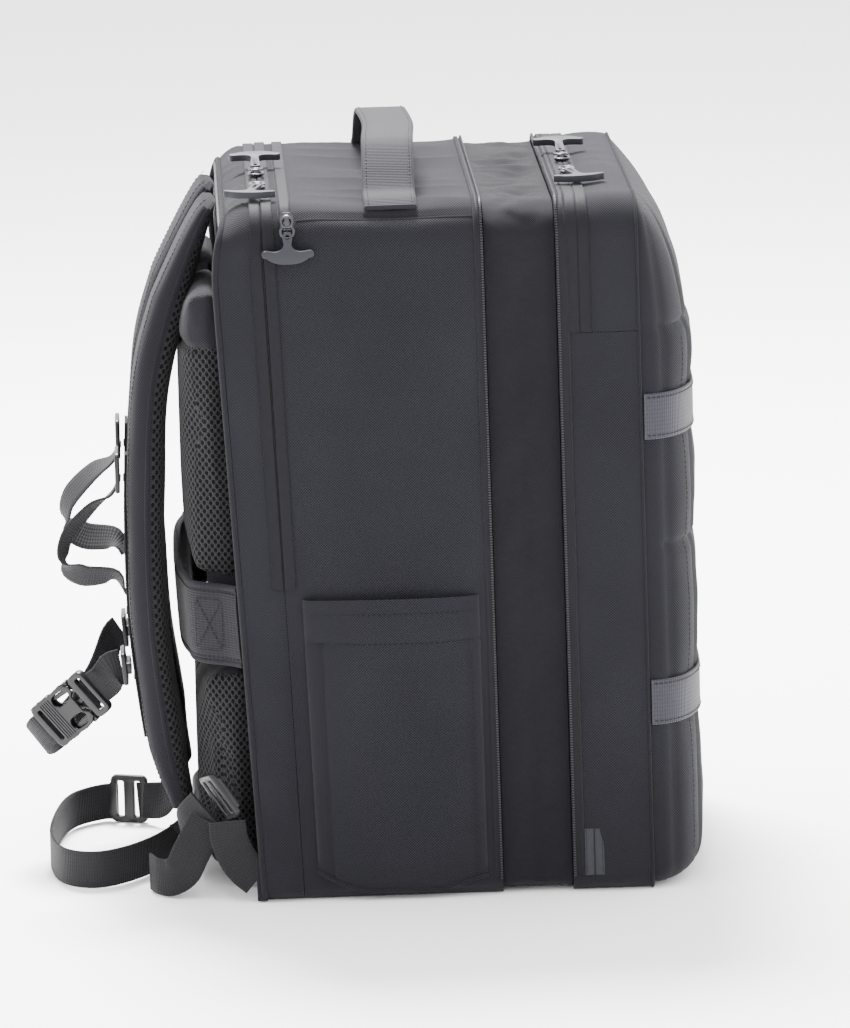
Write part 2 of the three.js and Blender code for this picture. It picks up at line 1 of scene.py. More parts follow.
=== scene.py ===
"""The looks of an expandable travel backpack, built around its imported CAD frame.

Metres, +Z up. X runs across the bag, +Y is the wearer's side and -Y the front panel.
"""
import math

import bmesh
import bpy
import numpy as np
from mathutils import Matrix, Vector


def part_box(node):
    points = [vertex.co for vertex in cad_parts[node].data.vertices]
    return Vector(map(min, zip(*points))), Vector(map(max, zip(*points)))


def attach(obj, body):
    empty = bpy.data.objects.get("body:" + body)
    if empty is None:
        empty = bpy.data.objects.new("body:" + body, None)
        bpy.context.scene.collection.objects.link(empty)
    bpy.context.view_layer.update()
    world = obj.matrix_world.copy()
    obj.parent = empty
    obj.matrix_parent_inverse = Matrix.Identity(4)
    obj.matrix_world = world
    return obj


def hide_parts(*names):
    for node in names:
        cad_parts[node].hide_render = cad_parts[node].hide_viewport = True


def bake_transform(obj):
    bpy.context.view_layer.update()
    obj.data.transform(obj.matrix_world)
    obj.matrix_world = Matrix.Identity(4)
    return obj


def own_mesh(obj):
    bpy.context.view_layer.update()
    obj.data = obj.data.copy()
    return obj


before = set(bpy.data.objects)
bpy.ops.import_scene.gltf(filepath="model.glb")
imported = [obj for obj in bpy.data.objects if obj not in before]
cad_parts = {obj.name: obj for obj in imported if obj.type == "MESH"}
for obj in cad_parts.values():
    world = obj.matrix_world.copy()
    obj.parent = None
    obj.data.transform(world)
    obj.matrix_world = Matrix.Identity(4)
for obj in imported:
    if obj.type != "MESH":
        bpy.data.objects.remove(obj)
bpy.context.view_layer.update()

MM = 0.001

# ---- Driving dimensions, as in the CAD ------------------------------------------------
HALF_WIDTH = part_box("main_shell")[1].x
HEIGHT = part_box("main_shell")[1].z
REAR_FACE, REAR_ZIP, MAIN_ZIP = 115 * MM, 90 * MM, 76 * MM
MAIN_FRONT, FRONT_BACK, FRONT_ZIP = -40 * MM, -86 * MM, -100 * MM
FRONT_FACE, PANEL_FACE = -138 * MM, -176 * MM
LEAN_FRONT, LEAN_REAR = 0.008, 0.05
BASE_RADIUS = 12 * MM
REAR_ZIP_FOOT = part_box("main_zip_tape")[0].z
FLAP_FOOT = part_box("front_flap")[0].z
BOTTOM_ZIP_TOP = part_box("bottom_zip_tape_left")[1].z
TAPE = 6.4 * MM
WEBBING = 25 * MM


# ---- Camera, lights and floor ---------------------------------------------------------
CAMERA_DISTANCE, CAMERA_LENS = 4.577, 290.5
CAMERA_ELEVATION, CAMERA_SWING, CAMERA_ROLL = (math.radians(angle) for angle in (11.78, 2.055, 1.44))
CAMERA_TARGET = Vector((0, 0, 0.2245))


def add_camera():
    """A long lens almost square to the bag's left side, a little above it."""
    level = math.cos(CAMERA_ELEVATION)
    away = Vector((-level * math.cos(CAMERA_SWING), level * math.sin(CAMERA_SWING),
                   math.sin(CAMERA_ELEVATION)))
    data = bpy.data.cameras.new("camera")
    data.sensor_fit = "HORIZONTAL"
    data.sensor_width = 36
    data.lens = CAMERA_LENS
    data.clip_end = 50
    camera = bpy.data.objects.new("camera", data)
    camera.location = CAMERA_TARGET + away * CAMERA_DISTANCE
    facing = (-away).to_track_quat("-Z", "Y").to_matrix()
    camera.rotation_euler = (facing @ Matrix.Rotation(-CAMERA_ROLL, 3, "Z")).to_euler()
    bpy.context.scene.collection.objects.link(camera)
    bpy.context.scene.camera = camera


def add_light(name, place, target, size, power):
    data = bpy.data.lights.new(name, "AREA")
    data.shape = "DISK"
    data.size = size
    data.energy = power
    lamp = bpy.data.objects.new(name, data)
    lamp.location = place
    lamp.rotation_euler = (Vector(target) - Vector(place)).to_track_quat("-Z", "Y").to_euler()
    bpy.context.scene.collection.objects.link(lamp)


def add_studio():
    add_light("top_softbox", (1.1, 0.2, 2.4), (0, 0, 0.4), 0.9, 430)
    add_light("front_softbox", (0.4, -2.8, 1.3), (0, 0, 0.2), 1.6, 14)
    add_light("back_softbox", (-0.6, 2.8, 1.5), (0, 0, 0.2), 1.6, 14)
    add_light("side_fill", (-3.0, 0.2, 1.4), (0, 0, 0.2), 2.2, 12)
    world = bpy.data.worlds.new("studio")
    world.use_nodes = True
    world.node_tree.nodes["Background"].inputs["Color"].default_value = (1, 1, 1, 1)
    world.node_tree.nodes["Background"].inputs["Strength"].default_value = 3.2
    bpy.context.scene.world = world
    bpy.ops.mesh.primitive_plane_add(size=24, location=(0, 0, 0))
    floor = bpy.context.object
    floor.name = "floor"
    paper = bpy.data.materials.new("floor_paper")
    paper.use_nodes = True
    shader = paper.node_tree.nodes["Principled BSDF"]
    shader.inputs["Base Color"].default_value = (0.96, 0.96, 0.96, 1)
    shader.inputs["Roughness"].default_value = 0.9
    floor.data.materials.append(paper)


# ---- Materials ------------------------------------------------------------------------
class Graph:
    """A material's node tree, built around one Principled shader."""

    def __init__(self, name, color, roughness, **shader_values):
        self.material = bpy.data.materials.new(name)
        self.material.use_nodes = True
        self.tree = self.material.node_tree
        self.shader = self.tree.nodes["Principled BSDF"]
        self.set(self.shader, "Base Color", (*color, 1))
        self.set(self.shader, "Roughness", roughness)
        for key, value in shader_values.items():
            self.set(self.shader, key.replace("_", " ").title().replace("Ior", "IOR"), value)
        self.color = color

    def set(self, node, key, value):
        socket = node.inputs[key]
        if isinstance(value, bpy.types.NodeSocket):
            self.tree.links.new(value, socket)
        else:
            socket.default_value = value

    def node(self, kind, values=(), **settings):
        made = self.tree.nodes.new("ShaderNode" + kind)
        for key, value in settings.items():
            setattr(made, key, value)
        for key, value in dict(values).items():
            self.set(made, key, value)
        return made

    def math(self, operation, first, second=0.0, third=0.0):
        made = self.node("Math", {0: first, 1: second, 2: third}, operation=operation)
        return made.outputs[0]

    def wave(self, along, pitch, phase=0.0):
        turned = self.math("MULTIPLY_ADD", along, 2 * math.pi / pitch, phase)
        return self.math("SINE", turned)

    def surface_map(self):
        """The metres-scaled map laid along each piece of cloth."""
        split = self.node("SeparateXYZ", {0: self.node("UVMap", uv_map="cloth").outputs[0]})
        return split.outputs[0], split.outputs[1]

    def noise(self, scale, detail=2.0):
        place = self.node("TexCoord").outputs["Object"]
        return self.node("TexNoise", {"Vector": place, "Scale": scale, "Detail": detail}).outputs[0]

    def shade(self, factor, dark, light):
        """Base colour from dark to light times the material's own colour."""
        ramp = self.node("MapRange", {0: factor, 1: 0.0, 2: 1.0, 3: dark, 4: light}).outputs[0]
        tint = self.node("VectorMath", {0: self.color, "Scale": ramp}, operation="SCALE").outputs[0]
        self.set(self.shader, "Base Color", tint)

    def bump(self, height, distance, strength=1.0):
        made = self.node("Bump", {"Height": height, "Distance": distance, "Strength": strength})
        self.set(self.shader, "Normal", made.outputs[0])


WEAVE_DEPTH, WEAVE_CONTRAST = 0.4 * MM, 0.95


def woven(name, color, pitch, roughness=0.8, sheen=0.05):
    """Plain weave: warp and weft threads pass over each other in turn."""
    g = Graph(name, color, roughness, sheen_weight=sheen, sheen_roughness=0.45, specular_ior_level=0.05)
    u, v = g.surface_map()
    cross = g.math("MULTIPLY", g.wave(u, 2 * pitch), g.wave(v, 2 * pitch))
    threads = g.math("MULTIPLY_ADD", cross, 0.5, 0.5)
    slub = g.noise(900)
    blotch = g.noise(14, 3)
    height = g.math("MULTIPLY_ADD", slub, 0.2, threads)
    mixed = g.math("MULTIPLY_ADD", blotch, 0.25, g.math("MULTIPLY", height, 0.8))
    g.shade(mixed, 1 - WEAVE_CONTRAST, 1 + WEAVE_CONTRAST)
    g.bump(height, WEAVE_DEPTH)
    return g.material


def ribbed(name, color, sheen=0.07, rib=1.7 * MM, cord_pitch=2.6 * MM):
    """Webbing: fine ribs across its width, with warp cords along it."""
    g = Graph(name, color, 0.7, sheen_weight=sheen, sheen_roughness=0.4, specular_ior_level=0.07)
    u, v = g.surface_map()
    ribs = g.wave(v, rib)
    cords = g.wave(u, cord_pitch)
    twill = g.wave(g.math("ADD", u, v), 1.1 * MM)
    height = g.math("MULTIPLY_ADD", ribs, 0.3, g.math("MULTIPLY_ADD", cords, 0.15, 0.5))
    height = g.math("MULTIPLY_ADD", twill, 0.06, height)
    shade = g.math("MULTIPLY_ADD", g.noise(500), 0.3, g.math("MULTIPLY", height, 0.7))
    g.shade(shade, 0.65, 1.35)
    g.bump(height, 0.35 * MM)
    return g.material


HOLE_SHARE = 0.36


def spacer_mesh(name, color, pitch=4.2 * MM):
    """Knitted spacer mesh: rounded holes on a staggered grid, with painted shade inside the holes."""
    g = Graph(name, color, 0.9, sheen_weight=0.05, sheen_roughness=0.5, specular_ior_level=0.04)
    u, v = g.surface_map()
    rows = pitch * 1.35

    def distance_to_hole(shift):
        across = g.math("PINGPONG", g.math("ADD", u, shift * pitch / 2), pitch / 2)
        along = g.math("PINGPONG", g.math("ADD", v, shift * rows / 2), rows / 2)
        flat = g.math("POWER", g.math("DIVIDE", across, pitch), 2.0)
        tall = g.math("POWER", g.math("DIVIDE", along, rows), 2.0)
        return g.math("SQRT", g.math("ADD", flat, tall))

    nearest = g.math("MINIMUM", distance_to_hole(0), distance_to_hole(1))
    wall = g.node("MapRange", {0: nearest, 1: HOLE_SHARE * 0.55, 2: HOLE_SHARE * 0.95, 3: 0.0, 4: 1.0},
                  interpolation_type="SMOOTHSTEP").outputs[0]
    # The holes get a near-black painted shade; the ribbed wave on the walls is the mesh's own texture.
    knit_with_hole_shade = g.math("MULTIPLY_ADD", g.wave(v, 1.1 * MM), 0.12, wall)
    g.shade(knit_with_hole_shade, 0.15, 1.7)
    g.bump(knit_with_hole_shade, 1.1 * MM)
    return g.material


def coated(name, color, roughness=0.5):
    """Smooth water-resistant zip tape, with a faint lengthwise grain."""
    g = Graph(name, color, roughness, sheen_weight=0.04, specular_ior_level=0.05)
    u, _ = g.surface_map()
    grain = g.math("MULTIPLY_ADD", g.wave(u, 0.8 * MM), 0.1, g.noise(260))
    g.shade(grain, 0.8, 1.15)
    g.bump(grain, 0.12 * MM)
    return g.material


def moulded(name, color, roughness=0.4, coat=0.0):
    g = Graph(name, color, roughness, coat_weight=coat, coat_roughness=0.25, specular_ior_level=0.2)
    grain = g.noise(1400, 3)
    scuff = g.noise(60, 4)
    g.shade(scuff, 0.85, 1.15)
    g.bump(grain, 0.05 * MM)
    g.set(g.shader, "Roughness", g.node("MapRange", {0: scuff, 1: 0.3, 2: 0.7, 3: roughness - 0.07,
                                                     4: roughness + 0.1}).outputs[0])
    return g.material


def plated(name, color):
    g = Graph(name, color, 0.3, metallic=1.0)
    wear = g.noise(180, 4)
    g.shade(wear, 0.7, 1.3)
    g.set(g.shader, "Roughness", g.node("MapRange", {0: wear, 1: 0.3, 2: 0.7, 3: 0.2, 4: 0.42}).outputs[0])
    g.bump(wear, 0.03 * MM)
    return g.material


THREAD = 0.9 * MM
CLOTH = woven("cloth_weave", (0.0092, 0.0090, 0.0114), THREAD)
PANEL_CLOTH = woven("panel_weave", (0.0092, 0.0091, 0.0114), THREAD, sheen=0.06)
GUSSET_CLOTH = woven("gusset_weave", (0.0072, 0.0069, 0.0088), 0.62 * MM, roughness=0.7)
LINING = woven("lining_weave", (0.008, 0.008, 0.0095), 0.5 * MM)
STRAP_CLOTH = woven("strap_weave", (0.0105, 0.0102, 0.0125), THREAD)
PAD_MESH = spacer_mesh("pad_mesh", (0.0115, 0.0112, 0.0125))
STRAP_MESH = spacer_mesh("strap_mesh", (0.0095, 0.0092, 0.0105), pitch=4.4 * MM)
STRAP_WEB = ribbed("strap_webbing", (0.0125, 0.0120, 0.0135))
PALE_WEB = ribbed("band_webbing", (0.030, 0.029, 0.036), sheen=0.2)
LOOP_WEB = ribbed("loop_webbing", (0.020, 0.019, 0.021))
HANDLE_WEB = ribbed("handle_webbing", (0.018, 0.0175, 0.0215), rib=1.4 * MM, cord_pitch=1.4 * MM)
SLEEVE_WEB = ribbed("sleeve_webbing", (0.0130, 0.0125, 0.0145), cord_pitch=3.2 * MM)
BINDING = woven("edge_binding", (0.0095, 0.0092, 0.0115), 0.5 * MM, sheen=0.05)
TAPE_COAT = coated("zip_tape_coating", (0.0080, 0.0078, 0.0100), 0.6)
PALE_TAPE = coated("closed_tape_coating", (0.026, 0.0255, 0.031), 0.45)
TEETH = moulded("zip_teeth_nylon", (0.026, 0.0255, 0.029), 0.4)
# Near-black sewing thread; the same material paints the thin strips of shade in the zip slits.
THREAD_AND_SLIT_SHADE = moulded("sewing_thread_and_slit_shade", (0.004, 0.004, 0.005), 0.7)
BLACK_PLASTIC = moulded("black_acetal", (0.0068, 0.0066, 0.0076), 0.36, coat=0.15)
PULL_PLASTIC = moulded("grey_pull_moulding", (0.015, 0.015, 0.0195), 0.5)
GUNMETAL = plated("gunmetal_plating", (0.05, 0.05, 0.056))
SHEET_PLASTIC = moulded("frame_sheet_plastic", (0.010, 0.010, 0.012), 0.5)
INNER_LINING = moulded("inner_lining", (0.008, 0.008, 0.010), 0.75)


# ---- Mesh helpers ---------------------------------------------------------------------
def settle(piece, body, slot, *nodes):
    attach(piece, body)
    if nodes:
        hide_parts(*nodes)
    return piece


def new_object(name, vertices, faces, material, uv=None, smooth=True):
    """A mesh with outward faces. uv gives each vertex its place on the cloth, in metres."""
    data = bpy.data.meshes.new(name)
    data.from_pydata([tuple(v) for v in np.asarray(vertices)], [], [tuple(f) for f in faces])
    data.materials.append(material)
    piece = bpy.data.objects.new(name, data)
    bpy.context.scene.collection.objects.link(piece)
    if uv is not None:
        layer = data.uv_layers.new(name="cloth")
        corner = np.zeros(len(data.loops), np.int32)
        data.loops.foreach_get("vertex_index", corner)
        layer.data.foreach_set("uv", np.asarray(uv, np.float32)[corner].ravel())
    tidy = bmesh.new()
    tidy.from_mesh(data)
    bmesh.ops.recalc_face_normals(tidy, faces=tidy.faces)
    tidy.to_mesh(data)
    tidy.free()
    data.polygons.foreach_set("use_smooth", [smooth] * len(data.polygons))
    data.set_sharp_from_angle(angle=math.radians(50))
    return piece


def box_map(piece):
    """Lays the cloth map flat on each face by the way it faces, in metres."""
    data = piece.data
    layer = data.uv_layers.get("cloth") or data.uv_layers.new(name="cloth")
    for face in data.polygons:
        axis = max(range(3), key=lambda i: abs(face.normal[i]))
        first, second = [i for i in range(3) if i != axis]
        for loop in face.loop_indices:
            place = data.vertices[data.loops[loop].vertex_index].co
            layer.data[loop].uv = (place[first], place[second])
    return piece


def unit(vectors):
    return vectors / np.linalg.norm(vectors, axis=1, keepdims=True)


def lifted(piece, height):
    piece.data.transform(Matrix.Translation((0, 0, height)))
    return piece


def arc_lengths(points):
    steps = np.linalg.norm(np.diff(points, axis=0), axis=1)
    return np.concatenate([[0], np.cumsum(steps)])


def sheet_solid(name, outer, inward, material, closed=False):
    """A closed skin from a grid of points and the same grid moved inward."""
    n, m = outer.shape[:2]
    inner = outer + inward
    vertices = np.concatenate([outer.reshape(-1, 3), inner.reshape(-1, 3)])
    faces = []
    rounds = n if closed else n - 1
    for i in range(rounds):
        k = (i + 1) % n
        for j in range(m - 1):
            a, b, c, d = i * m + j, i * m + j + 1, k * m + j + 1, k * m + j
            faces.append((a, b, c, d))
            faces.append((a + n * m, d + n * m, c + n * m, b + n * m))
        for j in (0, m - 1):
            a, d = i * m + j, k * m + j
            quad = (a, d, d + n * m, a + n * m)
            faces.append(quad if j == 0 else quad[::-1])
    if not closed:
        for i in (0, n - 1):
            for j in range(m - 1):
                a, b = i * m + j, i * m + j + 1
                quad = (a, b, b + n * m, a + n * m)
                faces.append(quad[::-1] if i == 0 else quad)
    along = arc_lengths(outer[:, m // 2])
    across = arc_lengths(outer[n // 2])
    flat = np.stack(np.meshgrid(along, across, indexing="ij"), axis=-1).reshape(-1, 2)
    return new_object(name, vertices, faces, material, np.concatenate([flat, flat]))


def swept(name, centres, across, section, material, closed=False, normals=None, wrapped=False):
    """A solid of one section swept along points. The section's points are (across, normal).
    Its cloth map lies flat across it, or is wrapped round it from the section's first point."""
    centres = np.asarray(centres, float)
    across = np.broadcast_to(np.asarray(across, float), centres.shape).copy()
    section = np.asarray(section, float)
    count, sides = len(centres), section.shape[-2]
    if closed:
        tangent = np.roll(centres, -1, 0) - np.roll(centres, 1, 0)
    else:
        tangent = np.gradient(centres, axis=0)
    tangent = unit(tangent)
    across = unit(across - tangent * np.sum(across * tangent, axis=1, keepdims=True))
    normal = np.cross(tangent, across) if normals is None else np.asarray(normals, float)
    section = np.broadcast_to(section, (count, sides, 2))
    rings = (centres[:, None] + across[:, None] * section[..., :1] + normal[:, None] * section[..., 1:])
    faces = []
    for i in range(count if closed else count - 1):
        k = (i + 1) % count
        for j in range(sides):
            l = (j + 1) % sides
            faces.append((i * sides + j, i * sides + l, k * sides + l, k * sides + j))
    if not closed:
        faces.append(tuple(range(sides))[::-1])
        faces.append(tuple((count - 1) * sides + j for j in range(sides)))
    along = arc_lengths(centres)
    uv = np.zeros((count, sides, 2))
    uv[..., 0] = section[..., 0]
    if wrapped:
        steps = np.linalg.norm(np.diff(section, axis=1), axis=2)
        uv[..., 0] = np.concatenate([np.zeros((count, 1)), np.cumsum(steps, axis=1)], axis=1)
    uv[..., 1] = along[:, None]
    return new_object(name, rings.reshape(-1, 3), faces, material, uv.reshape(-1, 2))


def flat_section(width, thick, edge=3):
    """A webbing section: flat faces with rounded edges and points across the width."""
    half, radius = width / 2, thick / 2
    flats = np.linspace(-half + radius, half - radius, 7)
    turn = [math.pi / 2 - math.pi * k / (edge + 1) for k in range(1, edge + 1)]
    points = [(u, radius) for u in flats]
    points += [(half - radius + radius * math.cos(a), radius * math.sin(a)) for a in turn]
    points += [(u, -radius) for u in flats[::-1]]
    points += [(-half + radius - radius * math.cos(a), -radius * math.sin(a)) for a in turn]
    return points


def round_section(radius, sides=8):
    return [(radius * math.cos(2 * math.pi * k / sides), radius * math.sin(2 * math.pi * k / sides))
            for k in range(sides)]


def smooth_route(points, step):
    """Evenly spaced points on a Catmull-Rom curve through a route."""
    p = np.asarray(points, float)
    p = np.concatenate([[2 * p[0] - p[1]], p, [2 * p[-1] - p[-2]]])
    dense = []
    for i in range(1, len(p) - 2):
        for t in np.linspace(0, 1, 24, endpoint=False):
            a, b, c, d = p[i - 1], p[i], p[i + 1], p[i + 2]
            dense.append(0.5 * (2 * b + (c - a) * t + (2 * a - 5 * b + 4 * c - d) * t ** 2
                                + (3 * b - a - 3 * c + d) * t ** 3))
    dense.append(p[-2])
    dense = np.array(dense)
    length = arc_lengths(dense[:, :3])
    places = np.linspace(0, length[-1], max(3, round(length[-1] / step) + 1))
    return np.stack([np.interp(places, length, dense[:, k]) for k in range(dense.shape[1])], axis=1)


def join(name, pieces):
    """One object of several meshes."""
    bpy.ops.object.select_all(action="DESELECT")
    for piece in pieces:
        piece.select_set(True)
    bpy.context.view_layer.objects.active = pieces[0]
    bpy.ops.object.join()
    pieces[0].name = name
    pieces[0].data.name = name
    return pieces[0]


def modified(piece, kind, **settings):
    """Adds a modifier and applies it."""
    modifier = piece.modifiers.new(kind.lower(), kind)
    for key, value in settings.items():
        setattr(modifier, key, value)
    bpy.context.view_layer.update()
    shaped = piece.evaluated_get(bpy.context.evaluated_depsgraph_get())
    mesh = bpy.data.meshes.new_from_object(shaped)
    piece.modifiers.clear()
    piece.data = mesh
    return piece


def moulding(name, outline, thick, material, bevel=0.6 * MM, holes=()):
    """A flat moulding with softened edges, drawn in X and Y about z = 0."""
    drawing = bmesh.new()
    loops = []
    for path in (outline, *holes):
        corners = [drawing.verts.new((x, y, -thick / 2)) for x, y in path]
        loops.append([drawing.edges.new((corners[i - 1], corners[i])) for i in range(len(corners))])
    edges = [edge for loop in loops for edge in loop]
    bmesh.ops.triangle_fill(drawing, use_beauty=True, use_dissolve=False, edges=edges)
    lifted = bmesh.ops.extrude_face_region(drawing, geom=drawing.faces[:])
    top = [item for item in lifted["geom"] if isinstance(item, bmesh.types.BMVert)]
    bmesh.ops.translate(drawing, verts=top, vec=(0, 0, thick))
    bmesh.ops.recalc_face_normals(drawing, faces=drawing.faces)
    data = bpy.data.meshes.new(name)
    drawing.to_mesh(data)
    drawing.free()
    data.materials.append(material)
    piece = bpy.data.objects.new(name, data)
    bpy.context.scene.collection.objects.link(piece)
    if bevel:
        modified(piece, "BEVEL", width=bevel, segments=3, limit_method="ANGLE",
                 angle_limit=math.radians(50))
    piece.data.polygons.foreach_set("use_smooth", [True] * len(piece.data.polygons))
    return box_map(piece)


def rounded_rectangle(width, length, radius, middle=(0, 0), steps=4):
    points = []
    for k, (sx, sy) in enumerate(((1, 1), (-1, 1), (-1, -1), (1, -1))):
        for step in range(steps + 1):
            angle = (k + step / steps) * math.pi / 2
            points.append((middle[0] + sx * (width / 2 - radius) + radius * math.cos(angle),
                           middle[1] + sy * (length / 2 - radius) + radius * math.sin(angle)))
    return points


def placed(piece, across, along, place):
    """Turns a flat drawing so its X runs along `across` and its Y along `along`."""
    x = Vector(across).normalized()
    z = x.cross(Vector(along)).normalized()
    y = z.cross(x)
    turn = Matrix((x, y, z)).transposed().to_4x4()
    turn.translation = Vector(place)
    piece.data.transform(turn)
    return piece


def stitches(name, route, out, pitch=3.4 * MM, length=2.4 * MM, radius=0.28 * MM):
    """A row of sewn stitches: each one a short thread that dips into the cloth at its ends."""
    route = np.asarray(route, float)
    out = np.broadcast_to(np.asarray(out, float), route.shape)
    places = arc_lengths(route)
    starts = np.arange(pitch / 2, places[-1] - length, pitch)
    vertices, faces = [], []
    for start in starts:
        share = np.linspace(0, 1, 4)
        spots = np.stack([np.interp(start + share * length, places, route[:, k]) for k in range(3)], 1)
        up = np.array([np.interp(start, places, out[:, k]) for k in range(3)])
        up /= np.linalg.norm(up)
        spots += up * (np.sin(share * math.pi)[:, None] * 0.7 - 0.35) * radius * 2
        along = spots[-1] - spots[0]
        along /= np.linalg.norm(along)
        side = np.cross(along, up)
        first = len(vertices)
        for spot in spots:
            for k in range(5):
                angle = 2 * math.pi * k / 5
                vertices.append(spot + radius * (side * math.cos(angle) + up * math.sin(angle)))
        for i in range(3):
            for k in range(5):
                l = (k + 1) % 5
                ring = first + i * 5
                faces.append((ring + k, ring + l, ring + 5 + l, ring + 5 + k))
        faces.append(tuple(first + k for k in range(5))[::-1])
        faces.append(tuple(first + 15 + k for k in range(5)))
    return new_object(name, vertices, faces, THREAD_AND_SLIT_SHADE)


# ---- The bag's own shape --------------------------------------------------------------
TOP_RADIUS = 26 * MM


def lean(points):
    """Leans points back as they rise, most at the wearer's back, whose top edge then droops."""
    moved = np.array(points, float)
    share = np.clip((moved[..., 1] - FRONT_FACE) / (REAR_FACE - FRONT_FACE), 0, 1)
    behind = np.clip((moved[..., 1] - REAR_ZIP) / (REAR_FACE - REAR_ZIP), 0, 1)
    high = np.clip((moved[..., 2] - HEIGHT + 56 * MM) / (56 * MM), 0, 1) ** 2
    moved[..., 1] += moved[..., 2] * (LEAN_FRONT + (LEAN_REAR - LEAN_FRONT) * share ** 4)
    moved[..., 1] -= 9 * MM * behind * high
    moved[..., 2] -= 10 * MM * behind ** 1.5 * high
    return moved


ARC_STEPS = 12


def traced_outline():
    """Round the bag from the middle of its base by the left side: arc length, place, normal."""
    half, top = HALF_WIDTH, HEIGHT
    corners = ((-half + BASE_RADIUS, BASE_RADIUS, BASE_RADIUS, 270),
               (-half + TOP_RADIUS, top - TOP_RADIUS, TOP_RADIUS, 180),
               (half - TOP_RADIUS, top - TOP_RADIUS, TOP_RADIUS, 90),
               (half - BASE_RADIUS, BASE_RADIUS, BASE_RADIUS, 0))
    places, normals = [(0.0, 0.0)], [(0.0, -1.0)]
    for x, z, radius, start in corners:
        for k in range(ARC_STEPS + 1):
            angle = math.radians(start - 90 * k / ARC_STEPS)
            normal = (math.cos(angle), math.sin(angle))
            places.append((x + radius * normal[0], z + radius * normal[1]))
            normals.append(normal)
    places.append((0.0, 0.0))
    normals.append((0.0, -1.0))
    places = np.array(places)
    return arc_lengths(places), places, np.array(normals)


OUTLINE = traced_outline()
GIRTH = OUTLINE[0][-1]
WHOLE = (0.0, GIRTH)


def up_to(height):
    """Arc length from the middle of the base to a height on the left side."""
    return HALF_WIDTH - BASE_RADIUS + BASE_RADIUS * math.pi / 2 + height - BASE_RADIUS


def over(foot):
    return (up_to(foot), GIRTH - up_to(foot))


def under(top):
    return (-up_to(top), up_to(top))


def outline_at(lengths):
    length, place, normal = OUTLINE
    wrapped = np.mod(lengths, GIRTH)
    return [np.interp(wrapped, length, column) for column in (*place.T, *normal.T)]


def course(span, step, y, out=0.0):
    """A line round the bag at one depth: leaned places and outward normals."""
    lengths = np.linspace(*span, max(3, round((span[1] - span[0]) / step) + 1))
    x, z, nx, nz = outline_at(lengths)
    flat = np.stack([x + nx * out, np.full_like(x, y), z + nz * out], axis=1)
    return lean(flat), np.stack([nx, np.zeros_like(nx), nz], axis=1)


def rumple(points, size, seed):
    """Smooth unevenness of about -1 to 1, with folds of one size."""
    random = np.random.default_rng(seed)
    total = np.zeros(points.shape[:-1])
    for _ in range(7):
        direction = random.normal(size=3)
        direction *= 2 * math.pi / (size * random.uniform(0.7, 1.6) * np.linalg.norm(direction))
        total += np.sin(points @ direction + random.uniform(0, 2 * math.pi))
    return total / 3


def puff(values, low, high, sharp=0.7):
    """Zero outside low to high, and a full round swell of height 1 between them."""
    share = np.clip((values - low) / (high - low), 0, 1)
    return np.sin(math.pi * share) ** sharp


def groove(values, middle, width):
    return np.exp(-((values - middle) / width) ** 2)


def cover(name, span, y0, y1, material, shape, thick=2 * MM, step=4 * MM, closed=False, base=0.0):
    """A cloth band round the bag. shape(points, up) is how far it stands out, with up 1 on top,
    and base is how far it stands out underneath."""
    lengths = np.linspace(*span, max(3, round((span[1] - span[0]) / step) + 1))
    if closed:
        lengths = lengths[:-1]
    x, z, nx, nz = outline_at(lengths)
    depths = np.linspace(y0, y1, max(3, round((y1 - y0) / step) + 1))
    grid = np.zeros((len(lengths), len(depths), 3))
    grid[..., 0], grid[..., 1], grid[..., 2] = x[:, None], depths[None], z[:, None]
    normal = np.zeros_like(grid)
    normal[..., 0], normal[..., 2] = nx[:, None], nz[:, None]
    out = np.where(nz[:, None] < -0.5, base, shape(grid, np.broadcast_to(nz[:, None], grid.shape[:2])))
    outer = lean(grid + normal * out[..., None])
    return sheet_solid(name, outer, -normal * thick, material, closed)


def wall(name, y, thick, inset, material, step=6 * MM):
    """A cloth wall across the bag at one depth, filling its outline."""
    half, top = HALF_WIDTH - inset, HEIGHT - inset
    across = np.linspace(-1, 1, round(2 * half / step) + 1)
    rise = np.linspace(0, 1, round(top / step) + 1)
    grid = np.zeros((len(rise), len(across), 3))
    heights = inset + rise * (top - inset)
    corner = np.where(heights < inset + BASE_RADIUS, BASE_RADIUS, TOP_RADIUS)
    edge = np.minimum(heights - inset, top - heights)
    cut = corner - np.sqrt(np.maximum(0, corner ** 2 - np.maximum(0, corner - edge) ** 2))
    grid[..., 0] = across[None] * (half - cut)[:, None]
    grid[..., 2] = heights[:, None]
    grid[..., 1] = y
    return sheet_solid(name, lean(grid), np.array([0, thick, 0]), material)


# ---- Compartments ---------------------------------------------------------------------
def side_swell(grid, up, height, sag, seed):
    """How cloth stands out: full on the sides, sagging on top, with soft folds."""
    on_top = np.clip(up, 0, 1)
    folds = 0.9 * MM * rumple(grid, 90 * MM, seed) + 0.35 * MM * rumple(grid, 30 * MM, seed + 1)
    middle = np.cos(np.clip(grid[..., 0] / HALF_WIDTH, -1, 1) * math.pi / 2)
    return height * (1 - on_top) - sag * on_top * middle + folds


def cross_folds(grid, size, seed):
    """Folds that run front to back, strongest on top and round the upper corners."""
    flat = grid * np.array([1.0, 0.25, 1.0])
    strength = np.clip((grid[..., 2] - HEIGHT + 110 * MM) / (80 * MM), 0, 1)
    waves = np.clip(rumple(flat, size, seed), -1.2, 1.2)
    return (1 - 1.8 * np.sqrt(np.abs(waves) + 0.02)) * strength


